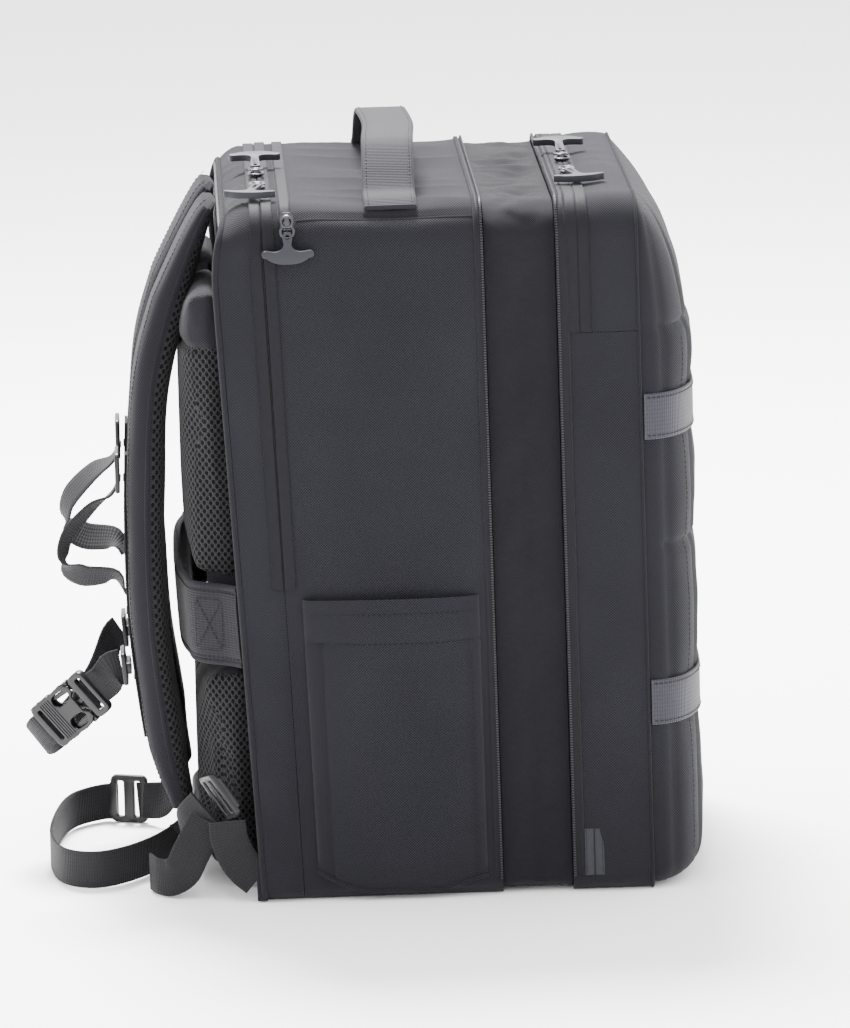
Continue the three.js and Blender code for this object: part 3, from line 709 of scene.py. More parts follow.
def main_cover():
    seam = HEIGHT - 8 * MM

    def shape(grid, up):
        on_top = np.clip(up, 0, 1)
        y, side = grid[..., 1], HALF_WIDTH - np.abs(grid[..., 0])
        swell = side_swell(grid, up, 3 * MM, 3 * MM, 3) + 2.6 * MM * cross_folds(grid, 62 * MM, 9) * on_top
        hem = on_top * puff(y, MAIN_FRONT + 5 * MM, MAIN_ZIP - 5 * MM, 0.6)
        track = 1 - 0.85 * groove(y, MAIN_ZIP - 0.5 * MM, 8 * MM)
        hem += (1 - on_top) * puff(y, MAIN_FRONT + 5 * MM, MAIN_ZIP + 7 * MM, 0.4) * track
        sewn = groove(grid[..., 2], seam, 1.6 * MM) * (side < 40 * MM)
        sewn = sewn * puff(y, MAIN_FRONT, MAIN_ZIP, 0.5)
        return swell * hem - 2.4 * MM * sewn

    piece = cover("main_cover", WHOLE, MAIN_FRONT, REAR_ZIP - 0.3 * MM, CLOTH, shape, closed=True,
                  step=3 * MM)
    settle(piece, "bag", "cloth", "main_shell")
    depths = np.arange(MAIN_FRONT + 3 * MM, MAIN_ZIP - 4 * MM, 3 * MM)
    for end, length in (("left", up_to(seam)), ("right", GIRTH - up_to(seam))):
        x, z, nx, nz = (column[0] for column in outline_at(np.array([length])))
        line = np.array([(x, y, z) for y in depths])
        out = shape(line, np.full(len(line), nz)) + 0.1 * MM
        line += np.array([nx, 0, nz]) * out[:, None]
        stroke = swept(f"top_seam_{end}", lean(line), (-nz, 0, nx), round_section(0.6 * MM, 6),
                       THREAD_AND_SLIT_SHADE)
        settle(stroke, "bag", "cloth")


def rear_cover():
    def shape(grid, up):
        folds = 0.7 * MM * rumple(grid, 60 * MM, 21) + 1 * MM * cross_folds(grid, 40 * MM, 22)
        low = puff(grid[..., 1], REAR_ZIP, REAR_FACE + 2 * MM, 0.5) * (grid[..., 2] < REAR_ZIP_FOOT)
        taped = puff(grid[..., 1], REAR_ZIP + 7 * MM, REAR_FACE + 2 * MM, 0.6)
        taped = taped * (grid[..., 2] >= REAR_ZIP_FOOT)
        seam = 1.5 * MM * groove(grid[..., 2], REAR_ZIP_FOOT, 1.6 * MM)
        return (2.2 * MM + folds) * (low + taped) - seam

    ring = cover("rear_cover", WHOLE, REAR_ZIP, REAR_FACE - 1 * MM, CLOTH, shape, closed=True)
    back = wall("rear_wall", REAR_FACE - 3 * MM, 2.6 * MM, 0.6 * MM, CLOTH, step=2.5 * MM)
    settle(join("rear_cover", [ring, back]), "bag", "cloth", "rear_shell")
    edging("rear_edging", WHOLE, REAR_FACE + 0.8 * MM, "bag", 2 * MM, closed=True)


def edging(name, span, y, body, radius=1.5 * MM, closed=False):
    """A corded seam along one edge of the bag."""
    centres, normal = course(span, 3 * MM, y, 0.3 * MM)
    if closed:
        centres, normal = centres[:-1], normal[:-1]
    centres[:, 2] = np.maximum(centres[:, 2], radius)
    piece = swept(name, centres, (0, 1, 0), round_section(radius), BINDING, closed=closed)
    return settle(piece, body, "cloth")


def inner_parts():
    for name, material in (("laptop_divider", INNER_LINING), ("frame_sheet", SHEET_PLASTIC)):
        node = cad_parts[name]
        node.data.materials.clear()
        node.data.materials.append(material)


def gusset():
    """The expansion section: limp cloth, drawn in, with slanting folds."""
    def shape(grid, up):
        depth = puff(grid[..., 1], FRONT_BACK, MAIN_FRONT, 1.0)
        slant = grid * np.array([1.0, 1.2, 1.0]) + grid[..., ::-1] * np.array([0.0, 0.5, 0.0])
        folds = 1.2 * MM * rumple(slant, 46 * MM, 31) + 0.5 * MM * rumple(slant, 17 * MM, 32)
        folds += 3.2 * MM * cross_folds(grid, 70 * MM, 33) + 1.2 * MM * cross_folds(grid, 34 * MM, 34)
        crease = 1.2 * MM * groove(grid[..., 1], (FRONT_BACK + MAIN_FRONT) / 2, 5 * MM)
        crease = crease * (1 - np.clip(up, 0, 1))
        return -3.2 * MM + np.minimum(1 * MM, folds - crease) * depth

    piece = cover("gusset", WHOLE, FRONT_BACK + 0.6 * MM, MAIN_FRONT - 0.6 * MM, GUSSET_CLOTH, shape,
                  thick=1 * MM, step=3 * MM, closed=True, base=-3.2 * MM)
    settle(piece, "bag", "lining", "expansion_gusset")
    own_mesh(piece)


def front_cover():
    def shape(grid, up):
        swell = side_swell(grid, up, 1.6 * MM, 2 * MM, 41)
        return swell * puff(grid[..., 1], FRONT_FACE, FRONT_BACK - 7 * MM)

    def plain(grid, _up):
        return np.zeros(grid.shape[:-1])

    low = cover("front_low", under(FLAP_FOOT), FRONT_FACE, FRONT_BACK, CLOTH, shape)
    rim = cover("front_rim", over(FLAP_FOOT), FRONT_ZIP, FRONT_BACK, CLOTH, plain)
    back = wall("front_divider", FRONT_BACK - 4.6 * MM, 2.4 * MM, 2 * MM, LINING)
    settle(join("front_cover", [low, rim, back]), "front_section", "cloth", "front_shell")
    edging("front_edging_low", under(FLAP_FOOT), FRONT_FACE, "front_section", 0.9 * MM)


def flap_cover():
    def shape(grid, up):
        swell = side_swell(grid, up, 1.2 * MM, -2.5 * MM, 47)
        return swell * puff(grid[..., 1], FRONT_FACE, FRONT_ZIP - 8 * MM)

    foot = FLAP_FOOT + 0.4 * MM
    piece = cover("flap_cover", over(foot), FRONT_FACE, FRONT_ZIP - 0.5 * MM, CLOTH, shape, step=3 * MM)
    settle(piece, "front_flap", "cloth", "front_flap")
    edging("front_edging_top", over(foot), FRONT_FACE, "front_flap", 0.9 * MM)


# ---- Quilted front panel --------------------------------------------------------------
SIDE_CHANNEL = 112 * MM
CROSS_CHANNEL = 228 * MM
BANDS = [(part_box(f"front_band_{place}")[0].z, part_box(f"front_band_{place}")[1].z)
         for place in ("lower", "upper")]


def quadratic(a, b, c, count=40):
    t = np.linspace(0, 1, count)[:, None]
    return (1 - t) ** 2 * np.array(a) + 2 * t * (1 - t) * np.array(b) + t ** 2 * np.array(c)


def resampled(points, step):
    places = arc_lengths(points)
    even = np.linspace(0, places[-1], round(places[-1] / step) + 1)
    return np.stack([np.interp(even, places, points[:, k]) for k in range(points.shape[1])], axis=1)


def panel_plan(step):
    """X and Y along the panel's face, from its left edge to its right one."""
    half, back = HALF_WIDTH - 1 * MM, FRONT_FACE - 0.3 * MM
    bend = PANEL_FACE + 3 * MM
    left = quadratic((-half, back), (-half, PANEL_FACE + 12 * MM), (-half + 45 * MM, bend))
    middle = quadratic((-half + 45 * MM, bend), (0, PANEL_FACE - 3 * MM), (half - 45 * MM, bend))
    right = left[::-1] * (-1, 1)
    return resampled(np.concatenate([left, middle[1:-1], right]), step)


def plan_outward(plan):
    tangent = np.gradient(plan, axis=0)
    return unit(np.stack([tangent[:, 1], -tangent[:, 0]], axis=1))


def panel_profile(step):
    """Y and Z down the panel's middle, from its top edge to its bottom one."""
    face = PANEL_FACE - 3 * MM
    top = quadratic((FRONT_FACE, HEIGHT - 1 * MM), (face + 14 * MM, HEIGHT - 14 * MM),
                    (face, HEIGHT - 96 * MM))
    foot = quadratic((face, 24 * MM), (face, 3 * MM), (face + 22 * MM, 3 * MM))
    return resampled(np.concatenate([top, foot, [(FRONT_FACE, 3 * MM)]]), step)


def quilt_swell(x, z):
    """The pillows between the sewn channels, flat under the two bands."""
    half = HALF_WIDTH - 6 * MM
    columns = puff(x, -SIDE_CHANNEL, SIDE_CHANNEL, 0.35) + 0.6 * puff(np.abs(x), SIDE_CHANNEL, half, 0.6)
    (low0, low1), (high0, high1) = BANDS
    stops = [8 * MM, low0, low1, CROSS_CHANNEL, high0, high1, FLAP_FOOT, HEIGHT - 12 * MM]
    rows = sum(puff(z, a, b, 0.6) for a, b in zip(stops, stops[1:]) if (a, b) not in BANDS)
    return columns * rows


def corner_share(z):
    """How much of the full width is left at a height, where the outline's corners are cut round."""
    above = np.clip((z - HEIGHT + TOP_RADIUS) / TOP_RADIUS, 0, 1)
    below = np.clip((BASE_RADIUS + 3 * MM - z) / BASE_RADIUS, 0, 1)
    lost = TOP_RADIUS * (1 - np.sqrt(1 - above ** 2)) + BASE_RADIUS * (1 - np.sqrt(1 - below ** 2))
    return 1 - lost / HALF_WIDTH


def front_quilt():
    plan, profile = panel_plan(4 * MM), panel_profile(4 * MM)
    back = FRONT_FACE - 0.3 * MM
    share = np.clip((back - profile[:, 0]) / (back - PANEL_FACE + 3 * MM), 0, 1)
    grid = np.zeros((len(profile), len(plan), 3))
    grid[..., 0] = plan[None, :, 0]
    grid[..., 1] = back + (plan[None, :, 1] - back) * share[:, None]
    grid[..., 2] = profile[:, None, 1]
    x, z = grid[..., 0], grid[..., 2]
    outward = plan_outward(plan)
    from_edge = np.minimum(arc_lengths(plan), arc_lengths(plan)[-1] - arc_lengths(plan))
    out = 3.4 * MM * quilt_swell(x, z) + 0.7 * MM * rumple(grid, 40 * MM, 53) * quilt_swell(x, z)
    out -= 2.6 * MM * groove(np.abs(x), SIDE_CHANNEL, 2.4 * MM)
    out += 1.6 * MM * puff(from_edge, 4 * MM, 16 * MM) - 1.6 * MM * groove(from_edge, 17 * MM, 2.4 * MM)
    out -= 2.4 * MM * (groove(z, CROSS_CHANNEL, 2.6 * MM) + groove(z, FLAP_FOOT, 2.2 * MM))
    grid[..., 0] *= corner_share(z)
    edge = np.minimum(1, (back - grid[..., 1]) / (14 * MM))
    grid[..., :2] += (out * edge)[..., None] * outward
    inward = np.zeros_like(grid)
    inward[..., 1] = np.minimum(7 * MM, 0.9 * (back - grid[..., 1])) + 0.4 * MM
    quilt = sheet_solid("front_quilt", lean(grid), inward, PANEL_CLOTH)
    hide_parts("front_panel_lower", "front_panel_upper")
    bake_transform(quilt)
    for side in (-1, 1):
        channel_stitches(grid, side)
    for name, (low, high) in zip(("lower", "upper"), BANDS):
        front_band(f"band_{name}", f"front_band_{name}", (low + high) / 2, high - low)


def channel_stitches(grid, side):
    """The row of stitches in an upright channel, below the flap."""
    column = np.argmin(np.abs(grid[0, :, 0] - side * SIDE_CHANNEL))
    line = lean(grid)[:, column]
    line = line[(line[:, 2] > 20 * MM) & (line[:, 2] < FLAP_FOOT - 4 * MM)]
    piece = stitches(f"quilt_stitches_{'left' if side < 0 else 'right'}", line, (0, -1, 0))
    settle(piece, "front_section", "cloth")


def front_band(name, node, middle, height):
    """Webbing sewn across the panel, tucked into its side seams."""
    plan = panel_plan(3 * MM)
    outward = plan_outward(plan)
    line = plan + outward * 1.2 * MM
    line[:, 1] = np.minimum(line[:, 1], FRONT_FACE - 2.2 * MM)
    centres = lean(np.column_stack([line, np.full(len(line), middle)]))
    band = swept(name, centres, (0, 0, 1), flat_section(height, 1.8 * MM), PALE_WEB)
    rows = []
    for edge in (-1, 1):
        sewn = centres + np.array([0, 0, edge * (height / 2 - 2.5 * MM)])
        sewn[:, :2] += outward * 1.1 * MM
        rows.append(stitches(f"{name}_sewing", sewn, np.column_stack([outward, np.zeros(len(line))])))
    settle(band, "front_section", "webbing", node)
    settle(join(f"{name}_stitches", rows), "front_section", "webbing")


# ---- Zips -----------------------------------------------------------------------------
def zip_tape(name, span, y0, y1, body, node, tucked=0.0, narrowed=0.0, material=TAPE_COAT):
    """One coated tape round the bag. It can be tucked in on the sides, or narrowed on top towards
    its front edge (below zero) or its back edge (above zero)."""
    centres, normal = course(span, 3 * MM, (y0 + y1) / 2, 0.7 * MM)
    on_top = np.clip(normal[:, 2], 0, 1)
    centres -= normal * (tucked * (1 - on_top))[:, None]
    centres[:, 1] += narrowed * on_top * (y1 - y0) / 2
    section = np.array(flat_section(y1 - y0, 1.2 * MM))[None] * np.ones((len(centres), 1, 1))
    section[..., 0] *= (1 - abs(narrowed) * on_top)[:, None]
    settle(swept(name, centres, (0, 1, 0), section, material), body, "tape", node)


def tape_sewing(name, span, y, body):
    centres, normal = course(span, 3 * MM, y, 1.3 * MM)
    settle(stitches(name, centres, normal, radius=0.2 * MM, pitch=3 * MM, length=2.2 * MM), body, "tape")


def dark_slit(name, span, y, body, width=0.6 * MM):
    """The shadowed gap between two tapes, as a thin dark strip."""
    centres, _ = course(span, 3 * MM, y, 0.35 * MM)
    piece = swept(name, centres, (0, 1, 0), flat_section(width, 0.5 * MM), THREAD_AND_SLIT_SHADE)
    settle(piece, body, "tape")


def blocks(name, centres, along, across, up, size, material):
    """One small tapered block at each place. size is along, across and up."""
    corners = [(-1, -1, -1, 1), (1, -1, -1, 1), (1, 1, -1, 1), (-1, 1, -1, 1),
               (-1, -1, 1, 0.6), (1, -1, 1, 0.6), (1, 1, 1, 0.6), (-1, 1, 1, 0.6)]
    sides = [(0, 3, 2, 1), (4, 5, 6, 7), (0, 1, 5, 4), (1, 2, 6, 5), (2, 3, 7, 6), (3, 0, 4, 7)]
    vertices, faces = [], []
    for i, place in enumerate(centres):
        for a, b, c, taper in corners:
            vertices.append(place + along[i] * a * taper * size[0] / 2 + across[i] * b * taper * size[1] / 2
                            + up[i] * c * size[2] / 2)
        faces += [tuple(8 * i + k for k in side) for side in sides]
    return new_object(name, vertices, faces, material, smooth=False)


def teeth(name, span, y, body):
    """A row of fine moulded teeth round the bag."""
    pitch, out = 1.7 * MM, 1.2 * MM
    centres, normal = course(span, pitch, y, out)
    along = unit(np.gradient(centres, axis=0))
    across = np.cross(normal, along)
    size = (1.1 * MM, 1.9 * MM, 1.3 * MM)
    settle(blocks(name, centres, along, across, normal, size, TEETH), body, "tape")


def compartment_zip(stem, y, foot, near_tape, far_tape):
    """Two coated tapes meeting over a hidden coil. Each tape is (name, node, body)."""
    slit = 0.15 * MM
    for (name, node, body), side in ((near_tape, -1), (far_tape, 1)):
        inner, outer = y + side * slit, y + side * (TAPE + 0.8 * MM)
        zip_tape(name, over(foot), min(inner, outer), max(inner, outer), body, node)
        tape_sewing(f"{name}_sewing", over(foot), outer - side * 0.9 * MM, body)
    # A thin dark strip of painted shade in the gap between the two tapes.
    dark_slit(f"{stem}_slit_shade", over(foot), y, far_tape[2])


def zips():
    compartment_zip("rear_zip", REAR_ZIP, REAR_ZIP_FOOT, ("rear_tape_front", "rear_zip_tape_front", "bag"),
                    ("rear_tape_back", "rear_zip_tape_back", "bag"))
    compartment_zip("front_zip", FRONT_ZIP, FLAP_FOOT + 0.4 * MM,
                    ("front_tape_flap", "front_zip_tape_flap", "front_flap"),
                    ("front_tape_fixed", "front_zip_tape_fixed", "front_section"))
    zip_tape("main_tape", over(REAR_ZIP_FOOT), MAIN_ZIP - 3 * MM, MAIN_ZIP + 4 * MM, "bag", "main_zip_tape",
             tucked=4 * MM)
    top_only = over(HEIGHT - TOP_RADIUS)
    tape_sewing("main_tape_sewing", top_only, MAIN_ZIP - 1.8 * MM, "bag")
    # A thin dark strip of painted shadow along the main tape's back edge on top.
    dark_slit("main_zip_slit_shade", top_only, MAIN_ZIP + 4.4 * MM, "bag", 0.5 * MM)
    expansion_zips()
    bottom_zips()


def expansion_zips():
    """The two toothed zips that close the expansion section, each with a corded seam."""
    arch = over(BASE_RADIUS)
    zip_tape("expansion_tape_rear", arch, MAIN_FRONT, MAIN_FRONT + 5 * MM, "bag", "expansion_zip_rear",
             narrowed=0.6)
    teeth("expansion_teeth_rear", arch, MAIN_FRONT + 1 * MM, "bag")
    edging("expansion_cord_rear", arch, MAIN_FRONT + 4.6 * MM, "bag", 1.3 * MM)
    zip_tape("expansion_tape_front", arch, FRONT_BACK - 6 * MM, FRONT_BACK, "front_section",
             "expansion_zip_front", narrowed=-0.6)
    teeth("expansion_teeth_front", arch, FRONT_BACK - 1 * MM, "front_section")
    edging("expansion_cord_front", arch, FRONT_BACK - 6.2 * MM, "front_section", 1.3 * MM)


def bottom_zips():
    """The short closed ends of the front zip, low on each side."""
    for name, side in (("left", -1), ("right", 1)):
        low, high = up_to(BASE_RADIUS), up_to(BOTTOM_ZIP_TOP)
        span = (low, high) if side < 0 else (GIRTH - high, GIRTH - low)
        zip_tape(f"bottom_tape_{name}", span, FRONT_ZIP - TAPE, FRONT_ZIP + TAPE, "front_section",
                 f"bottom_zip_tape_{name}", material=PALE_TAPE)
        # A thin dark strip of painted shade in the gap between the two tapes.
        centres, _ = course(span, 3 * MM, FRONT_ZIP, 1.5 * MM)
        slit = swept(f"bottom_slit_{name}", centres, (0, 1, 0), flat_section(0.9 * MM, 0.4 * MM),
                     THREAD_AND_SLIT_SHADE)
        settle(slit, "front_section", "tape")
        for edge in (-1, 1):
            tape_sewing(f"bottom_sewing_{name}_{'front' if edge < 0 else 'back'}", span,
                        FRONT_ZIP + edge * (TAPE - 1.2 * MM), "front_section")


# ---- Sliders and pulls ----------------------------------------------------------------
PULL_ROOT = 13.2 * MM


def slider_drawing(name, links=((-9, 4.5, 4.4, 2.6), (3, 11, 3.6, 3.6), (9, 17.6, 4.2, 3.1))):
    """A zip slider on its tape, heading for +X: body, bridge and links. A link is its start, end,
    half width and rise, in millimetres."""
    outline = [(x * MM, y * MM) for x, y in ((0, -2.8), (3, -4.4), (9, -4.4), (12, -3.2),
                                             (12, 3.2), (9, 4.4), (3, 4.4), (0, 2.8))]
    base = moulding(f"{name}_base", outline, 1.5 * MM, GUNMETAL, 0.5 * MM)
    lifted(base, 0.8 * MM)
    route = [(2 * MM, 0, 1.4 * MM), (3 * MM, 0, 3.2 * MM), (6 * MM, 0, 4.1 * MM), (9.5 * MM, 0, 3.6 * MM),
             (10.6 * MM, 0, 1.4 * MM)]
    bridge = swept(f"{name}_bridge", smooth_route(route, 0.8 * MM), (0, 1, 0),
                   flat_section(3 * MM, 1.2 * MM, 2), GUNMETAL)
    rings = []
    for start, end, half, rise in links:
        corners = [(start, 0), (start + 2, half), (end - 2, half),
                   (end, 0), (end - 2, -half), (start + 2, -half)]
        centres = np.array([(x, y, rise) for x, y in corners]) * MM
        rings.append(swept("link", rounded_loop(centres, 2), (0, 0, 1), round_section(1 * MM), GUNMETAL,
                           closed=True))
    for piece in (bridge, *rings):
        box_map(piece)
    return join(name, [base, bridge, *rings])


def rounded_loop(corners, rounds=3):
    """A closed loop with its corners cut round."""
    loop = np.asarray(corners, float)
    for _ in range(rounds):
        following = np.roll(loop, -1, 0)
        loop = np.stack([0.75 * loop + 0.25 * following, 0.25 * loop + 0.75 * following], 1).reshape(-1, 3)
    return loop


def pull_drawing(name, reach):
    """A moulded pull like an anchor, heading for +X: an eye, a waisted stem and a curved bar."""
    bar = PULL_ROOT + reach
    eye = [(PULL_ROOT, 0), (PULL_ROOT + 0.4 * MM, 2.2 * MM), (PULL_ROOT + 2 * MM, 3.1 * MM),
           (PULL_ROOT + 5 * MM, 3.1 * MM)]
    flare = quadratic((bar - 13 * MM, 2.5 * MM), (bar - 6.6 * MM, 3 * MM), (bar - 8.8 * MM, 13 * MM), 9)
    tip = [(bar - 6.6 * MM + 2.4 * MM * math.cos(a), 14.5 * MM + 2.4 * MM * math.sin(a))
           for a in np.linspace(math.pi * 1.02, math.pi * 0.1, 8)]
    crown = quadratic((bar - 3.9 * MM, 13.4 * MM), (bar + 0.3 * MM, 9 * MM), (bar, 0), 7)
    upper = [*eye, *map(tuple, flare), *tip, *map(tuple, crown)]
    outline = upper + [(x, -y) for x, y in upper[-2:0:-1]]
    hole = rounded_rectangle(3 * MM, 2.6 * MM, 1.2 * MM, (PULL_ROOT + 3.2 * MM, 0), 3)
    body = moulding(name, outline, 4.2 * MM, PULL_PLASTIC, 1.4 * MM, holes=[hole])
    return lifted(body, 3.2 * MM)


def lay_on_top(piece, x, y, side):
    """Puts a drawing on the top of the bag, heading for -X or +X."""
    turn = Matrix.Rotation(math.pi if side < 0 else 0, 4, "Z")
    middle = lean(np.array([[x, y, HEIGHT]]))[0]
    turn.translation = (x, middle[1], HEIGHT + 1.8 * MM)
    piece.data.transform(turn)


def sliders_and_pulls():
    for stem, y in (("rear", REAR_ZIP), ("front", FRONT_ZIP)):
        for place, side in (("near", -1), ("far", 1)):
            low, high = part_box(f"{stem}_slider_{place}")
            x = high.x if side < 0 else low.x
            slider = slider_drawing(f"{stem}_zip_slider_{place}")
            pull = pull_drawing(f"{stem}_zip_pull_{place}", 34 * MM)
            swing = math.radians(12 if stem == "front" else -12)
            turn = Matrix.Rotation(swing, 4, "Z") if side < 0 else Matrix.Rotation(math.radians(-8), 4, "Y")
            root = Vector((PULL_ROOT, 0, 3 * MM))
            pull.data.transform(Matrix.Translation(root) @ turn @ Matrix.Translation(-root))
            for piece in (slider, pull):
                lay_on_top(piece, x, y, side)
            settle(slider, f"{stem}_slider_{place}", "metal", f"{stem}_slider_{place}")
            settle(pull, f"{stem}_pull_{place}", "pull_plastic", f"{stem}_pull_{place}")
    side_slider()
    expansion_slider()


def side_slider():
    """The main compartment's slider, parked high on the left side with its pull hanging."""
    low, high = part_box("main_slider")
    turn = (Matrix.Translation((high.x - 0.8 * MM, (low.y + high.y) / 2, high.z))
            @ Matrix.Rotation(math.pi / 2, 4, "Y") @ Matrix.Rotation(math.pi, 4, "X"))
    reach = high.z - PULL_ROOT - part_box("main_pull")[0].z
    slider = slider_drawing("main_zip_slider", ((3, 11, 3.6, 3.6), (9, 17.6, 4.2, 3.1)))
    pull = pull_drawing("main_zip_pull", reach)
    for piece in (slider, pull):
        piece.data.transform(turn)
    root = Vector((low.x, 0, low.z))
    tilt = Matrix.Translation(root) @ Matrix.Rotation(math.radians(22), 4, "Y") @ Matrix.Translation(-root)
    slider.data.transform(tilt)
    settle(slider, "main_slider", "metal", "main_slider")
    settle(pull, "main_pull", "pull_plastic", "main_pull")


def expansion_slider():
    """The expansion zip's slider, parked low on the right side, with a small moulded pull tag."""
    low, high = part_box("expansion_slider")
    middle = low.y + 4.5 * MM
    slider = slider_drawing("expansion_zip_slider", ((3, 11, 3.6, 3.6),))
    upright = Matrix(((0, 0, 1, 0), (0, 1, 0, 0), (1, 0, 0, 0), (0, 0, 0, 1)))
    slider.data.transform(Matrix.Translation((low.x, middle, low.z)) @ upright)
    tag = moulding("expansion_tag", rounded_rectangle(5 * MM, 16 * MM, 2 * MM), 1.8 * MM, PULL_PLASTIC)
    placed(tag, (0, 1, 0), (0, 0, 1), (high.x - 1.4 * MM, middle, high.z - 8 * MM))
    settle(join("expansion_zip_slider", [slider, tag]), "expansion_slider", "metal", "expansion_slider")


# ---- Pockets and handle ---------------------------------------------------------------
def side_pocket(name, node, side):
    """A low pocket with a folded band at its mouth and a corded seam round its foot."""
    low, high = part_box(node)
    front, back = -30 * MM, 80 * MM
    band_foot = high.z - 28 * MM
    y = np.broadcast_to(np.linspace(front, back, 56), (60, 56))
    foot = low.z + 15 * MM * np.clip((y - 40 * MM) / (40 * MM), 0, 1) ** 2
    foot = foot + 9 * MM * np.clip(-y / (30 * MM), 0, 1)
    z = foot + np.linspace(0, 1, 60)[:, None] * (high.z - 1 * MM - foot)
    face = puff(y, front, back, 0.3) * (1 - np.clip(1 - (z - foot) / (22 * MM), 0, 1) ** 2)
    spot = np.stack([y * 0, y, z], axis=-1)
    stand = 2 * MM + face * (6.4 * MM + 0.8 * MM * rumple(spot, 60 * MM, 61))
    edges = groove(y, front + 9 * MM, 1.2 * MM) + groove(y, back - 10 * MM, 1.2 * MM)
    stand -= 1.2 * MM * edges * (z < band_foot) + 1.2 * MM * groove(z, band_foot - 1 * MM, 1.6 * MM)
    stand += 0.9 * MM * (z > band_foot) * (y > front + 6 * MM) * (y < back - 3 * MM)
    grid = lean(np.stack([side * (HALF_WIDTH + stand), y, z], axis=-1))
    skin = sheet_solid(name, grid, np.array([-side * 1.4 * MM, 0, 0]), CLOTH)
    settle(skin, "bag", "cloth", node)
    out = np.array([side, 0, 0]) * 0.3 * MM
    rows = [stitches("sewing", grid[i] + out, (side, 0, 0), length=1.8 * MM) for i in (-4, 50)]
    rows += [stitches("sewing", grid[:49, j] + out, (side, 0, 0), length=1.8 * MM) for j in (3, -4)]
    settle(join(f"{name}_stitches", rows), "bag", "cloth")
    seam = grid[0] + np.array([side * 0.6 * MM, 0, 0])
    settle(swept(f"{name}_cord", seam, (side, 0, 0), round_section(1.3 * MM), BINDING), "bag", "cloth")


def mirrored_route(half):
    """A route over the bag's middle, from its right half."""
    half = np.asarray(half, float)
    return np.concatenate([half[:-1] * (-1, 1, 1) if half[-1][0] == 0 else half * (-1, 1, 1), half[::-1]])


def carry_handle():
    """Two layers of webbing, sewn down at both ends and standing up between them."""
    width = 34 * MM
    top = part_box("carry_handle")[1].z - 8 * MM
    foot = HEIGHT + 1.6 * MM
    half = [(138 * MM, foot - 5 * MM), (132 * MM, foot - 1.6 * MM), (125 * MM, foot - 0.4 * MM),
            (113 * MM, foot + 1 * MM), (104 * MM, foot + 7 * MM), (92 * MM, top - 12 * MM),
            (76 * MM, top - 2.5 * MM), (56 * MM, top), (0, top)]
    line = mirrored_route([(x, (12 + 4 * min(1, x / (110 * MM))) * MM, z) for x, z in half])
    centres = lean(smooth_route(line, 3 * MM))
    parts = [swept("handle_layer", centres, (0, 1, 0), flat_section(width, 3.6 * MM), HANDLE_WEB)]
    out = unit(np.cross(np.gradient(centres, axis=0), (0, 1, 0)))
    grip = centres[np.abs(centres[:, 0]) < 70 * MM]
    parts.append(swept("handle_grip", grip - np.array([0, 0, 1.2 * MM]), (0, 1, 0),
                       flat_section(width * 0.8, 5 * MM), HANDLE_WEB))
    handle = join("carry_handle_web", parts)
    settle(handle, "bag", "webbing", "carry_handle")
    rows = [stitches("handle_sewing", centres + out * 1.9 * MM + np.array([0, edge * 14 * MM, 0]), out)
            for edge in (-1, 1)]
    settle(join("handle_stitches", rows), "bag", "webbing")


def crossed_box(name, middle, across, up, width, height):
    """A sewn rectangle with both its diagonals."""
    across, up = np.asarray(across, float), np.asarray(up, float)
    corners = [middle + across * a * width / 2 + up * b * height / 2
               for a, b in ((-1, -1), (1, -1), (1, 1), (-1, 1))]
    out = np.cross(across, up)
    paths = [(0, 1), (1, 2), (2, 3), (3, 0), (0, 2), (1, 3)]
    return join(name, [stitches(name, np.linspace(corners[a], corners[b], 12), out) for a, b in paths])


# ---- Padding on the wearer's side -----------------------------------------------------
PAD_VOXEL, PAD_CROWN = 4.5 * MM, 5 * MM
PAD_PRESSURE, PAD_FRAMES = 4, 20
PAD_SWELL, PAD_BACKING = 5 * MM, 4 * MM


def inflated(piece):
    """Swells a closed block like foam in a sewn cover. Points near the bag's wall stay put."""
    modified(piece, "REMESH", mode="VOXEL", voxel_size=PAD_VOXEL)
    data = piece.data
    start = np.array([v.co for v in data.vertices])
    held = piece.vertex_groups.new(name="held")
    near = start[:, 1] < REAR_FACE + start[:, 2] * LEAN_REAR + PAD_BACKING
    held.add([int(i) for i in np.nonzero(near)[0]], 1.0, "REPLACE")
    cloth = piece.modifiers.new("cloth", "CLOTH")
    cloth.settings.use_pressure = True
    cloth.settings.uniform_pressure_force = PAD_PRESSURE
    cloth.settings.vertex_group_mass = "held"
    cloth.settings.effector_weights.gravity = 0
    cloth.point_cache.frame_start, cloth.point_cache.frame_end = 1, PAD_FRAMES
    for frame_number in range(1, PAD_FRAMES + 1):
        bpy.context.scene.frame_set(frame_number)
    shaped = piece.evaluated_get(bpy.context.evaluated_depsgraph_get())
    moved = np.array([v.co for v in shaped.data.vertices]) - start
    far = np.linalg.norm(moved, axis=1, keepdims=True)
    moved *= np.minimum(1, PAD_SWELL / np.maximum(far, 1e-9))
    piece.modifiers.clear()
    data.vertices.foreach_set("co", (start + moved).astype(np.float32).ravel())
    bpy.context.scene.frame_set(1)
    piece.vertex_groups.clear()
    modified(piece, "SUBSURF", levels=1, render_levels=1)
    return piece


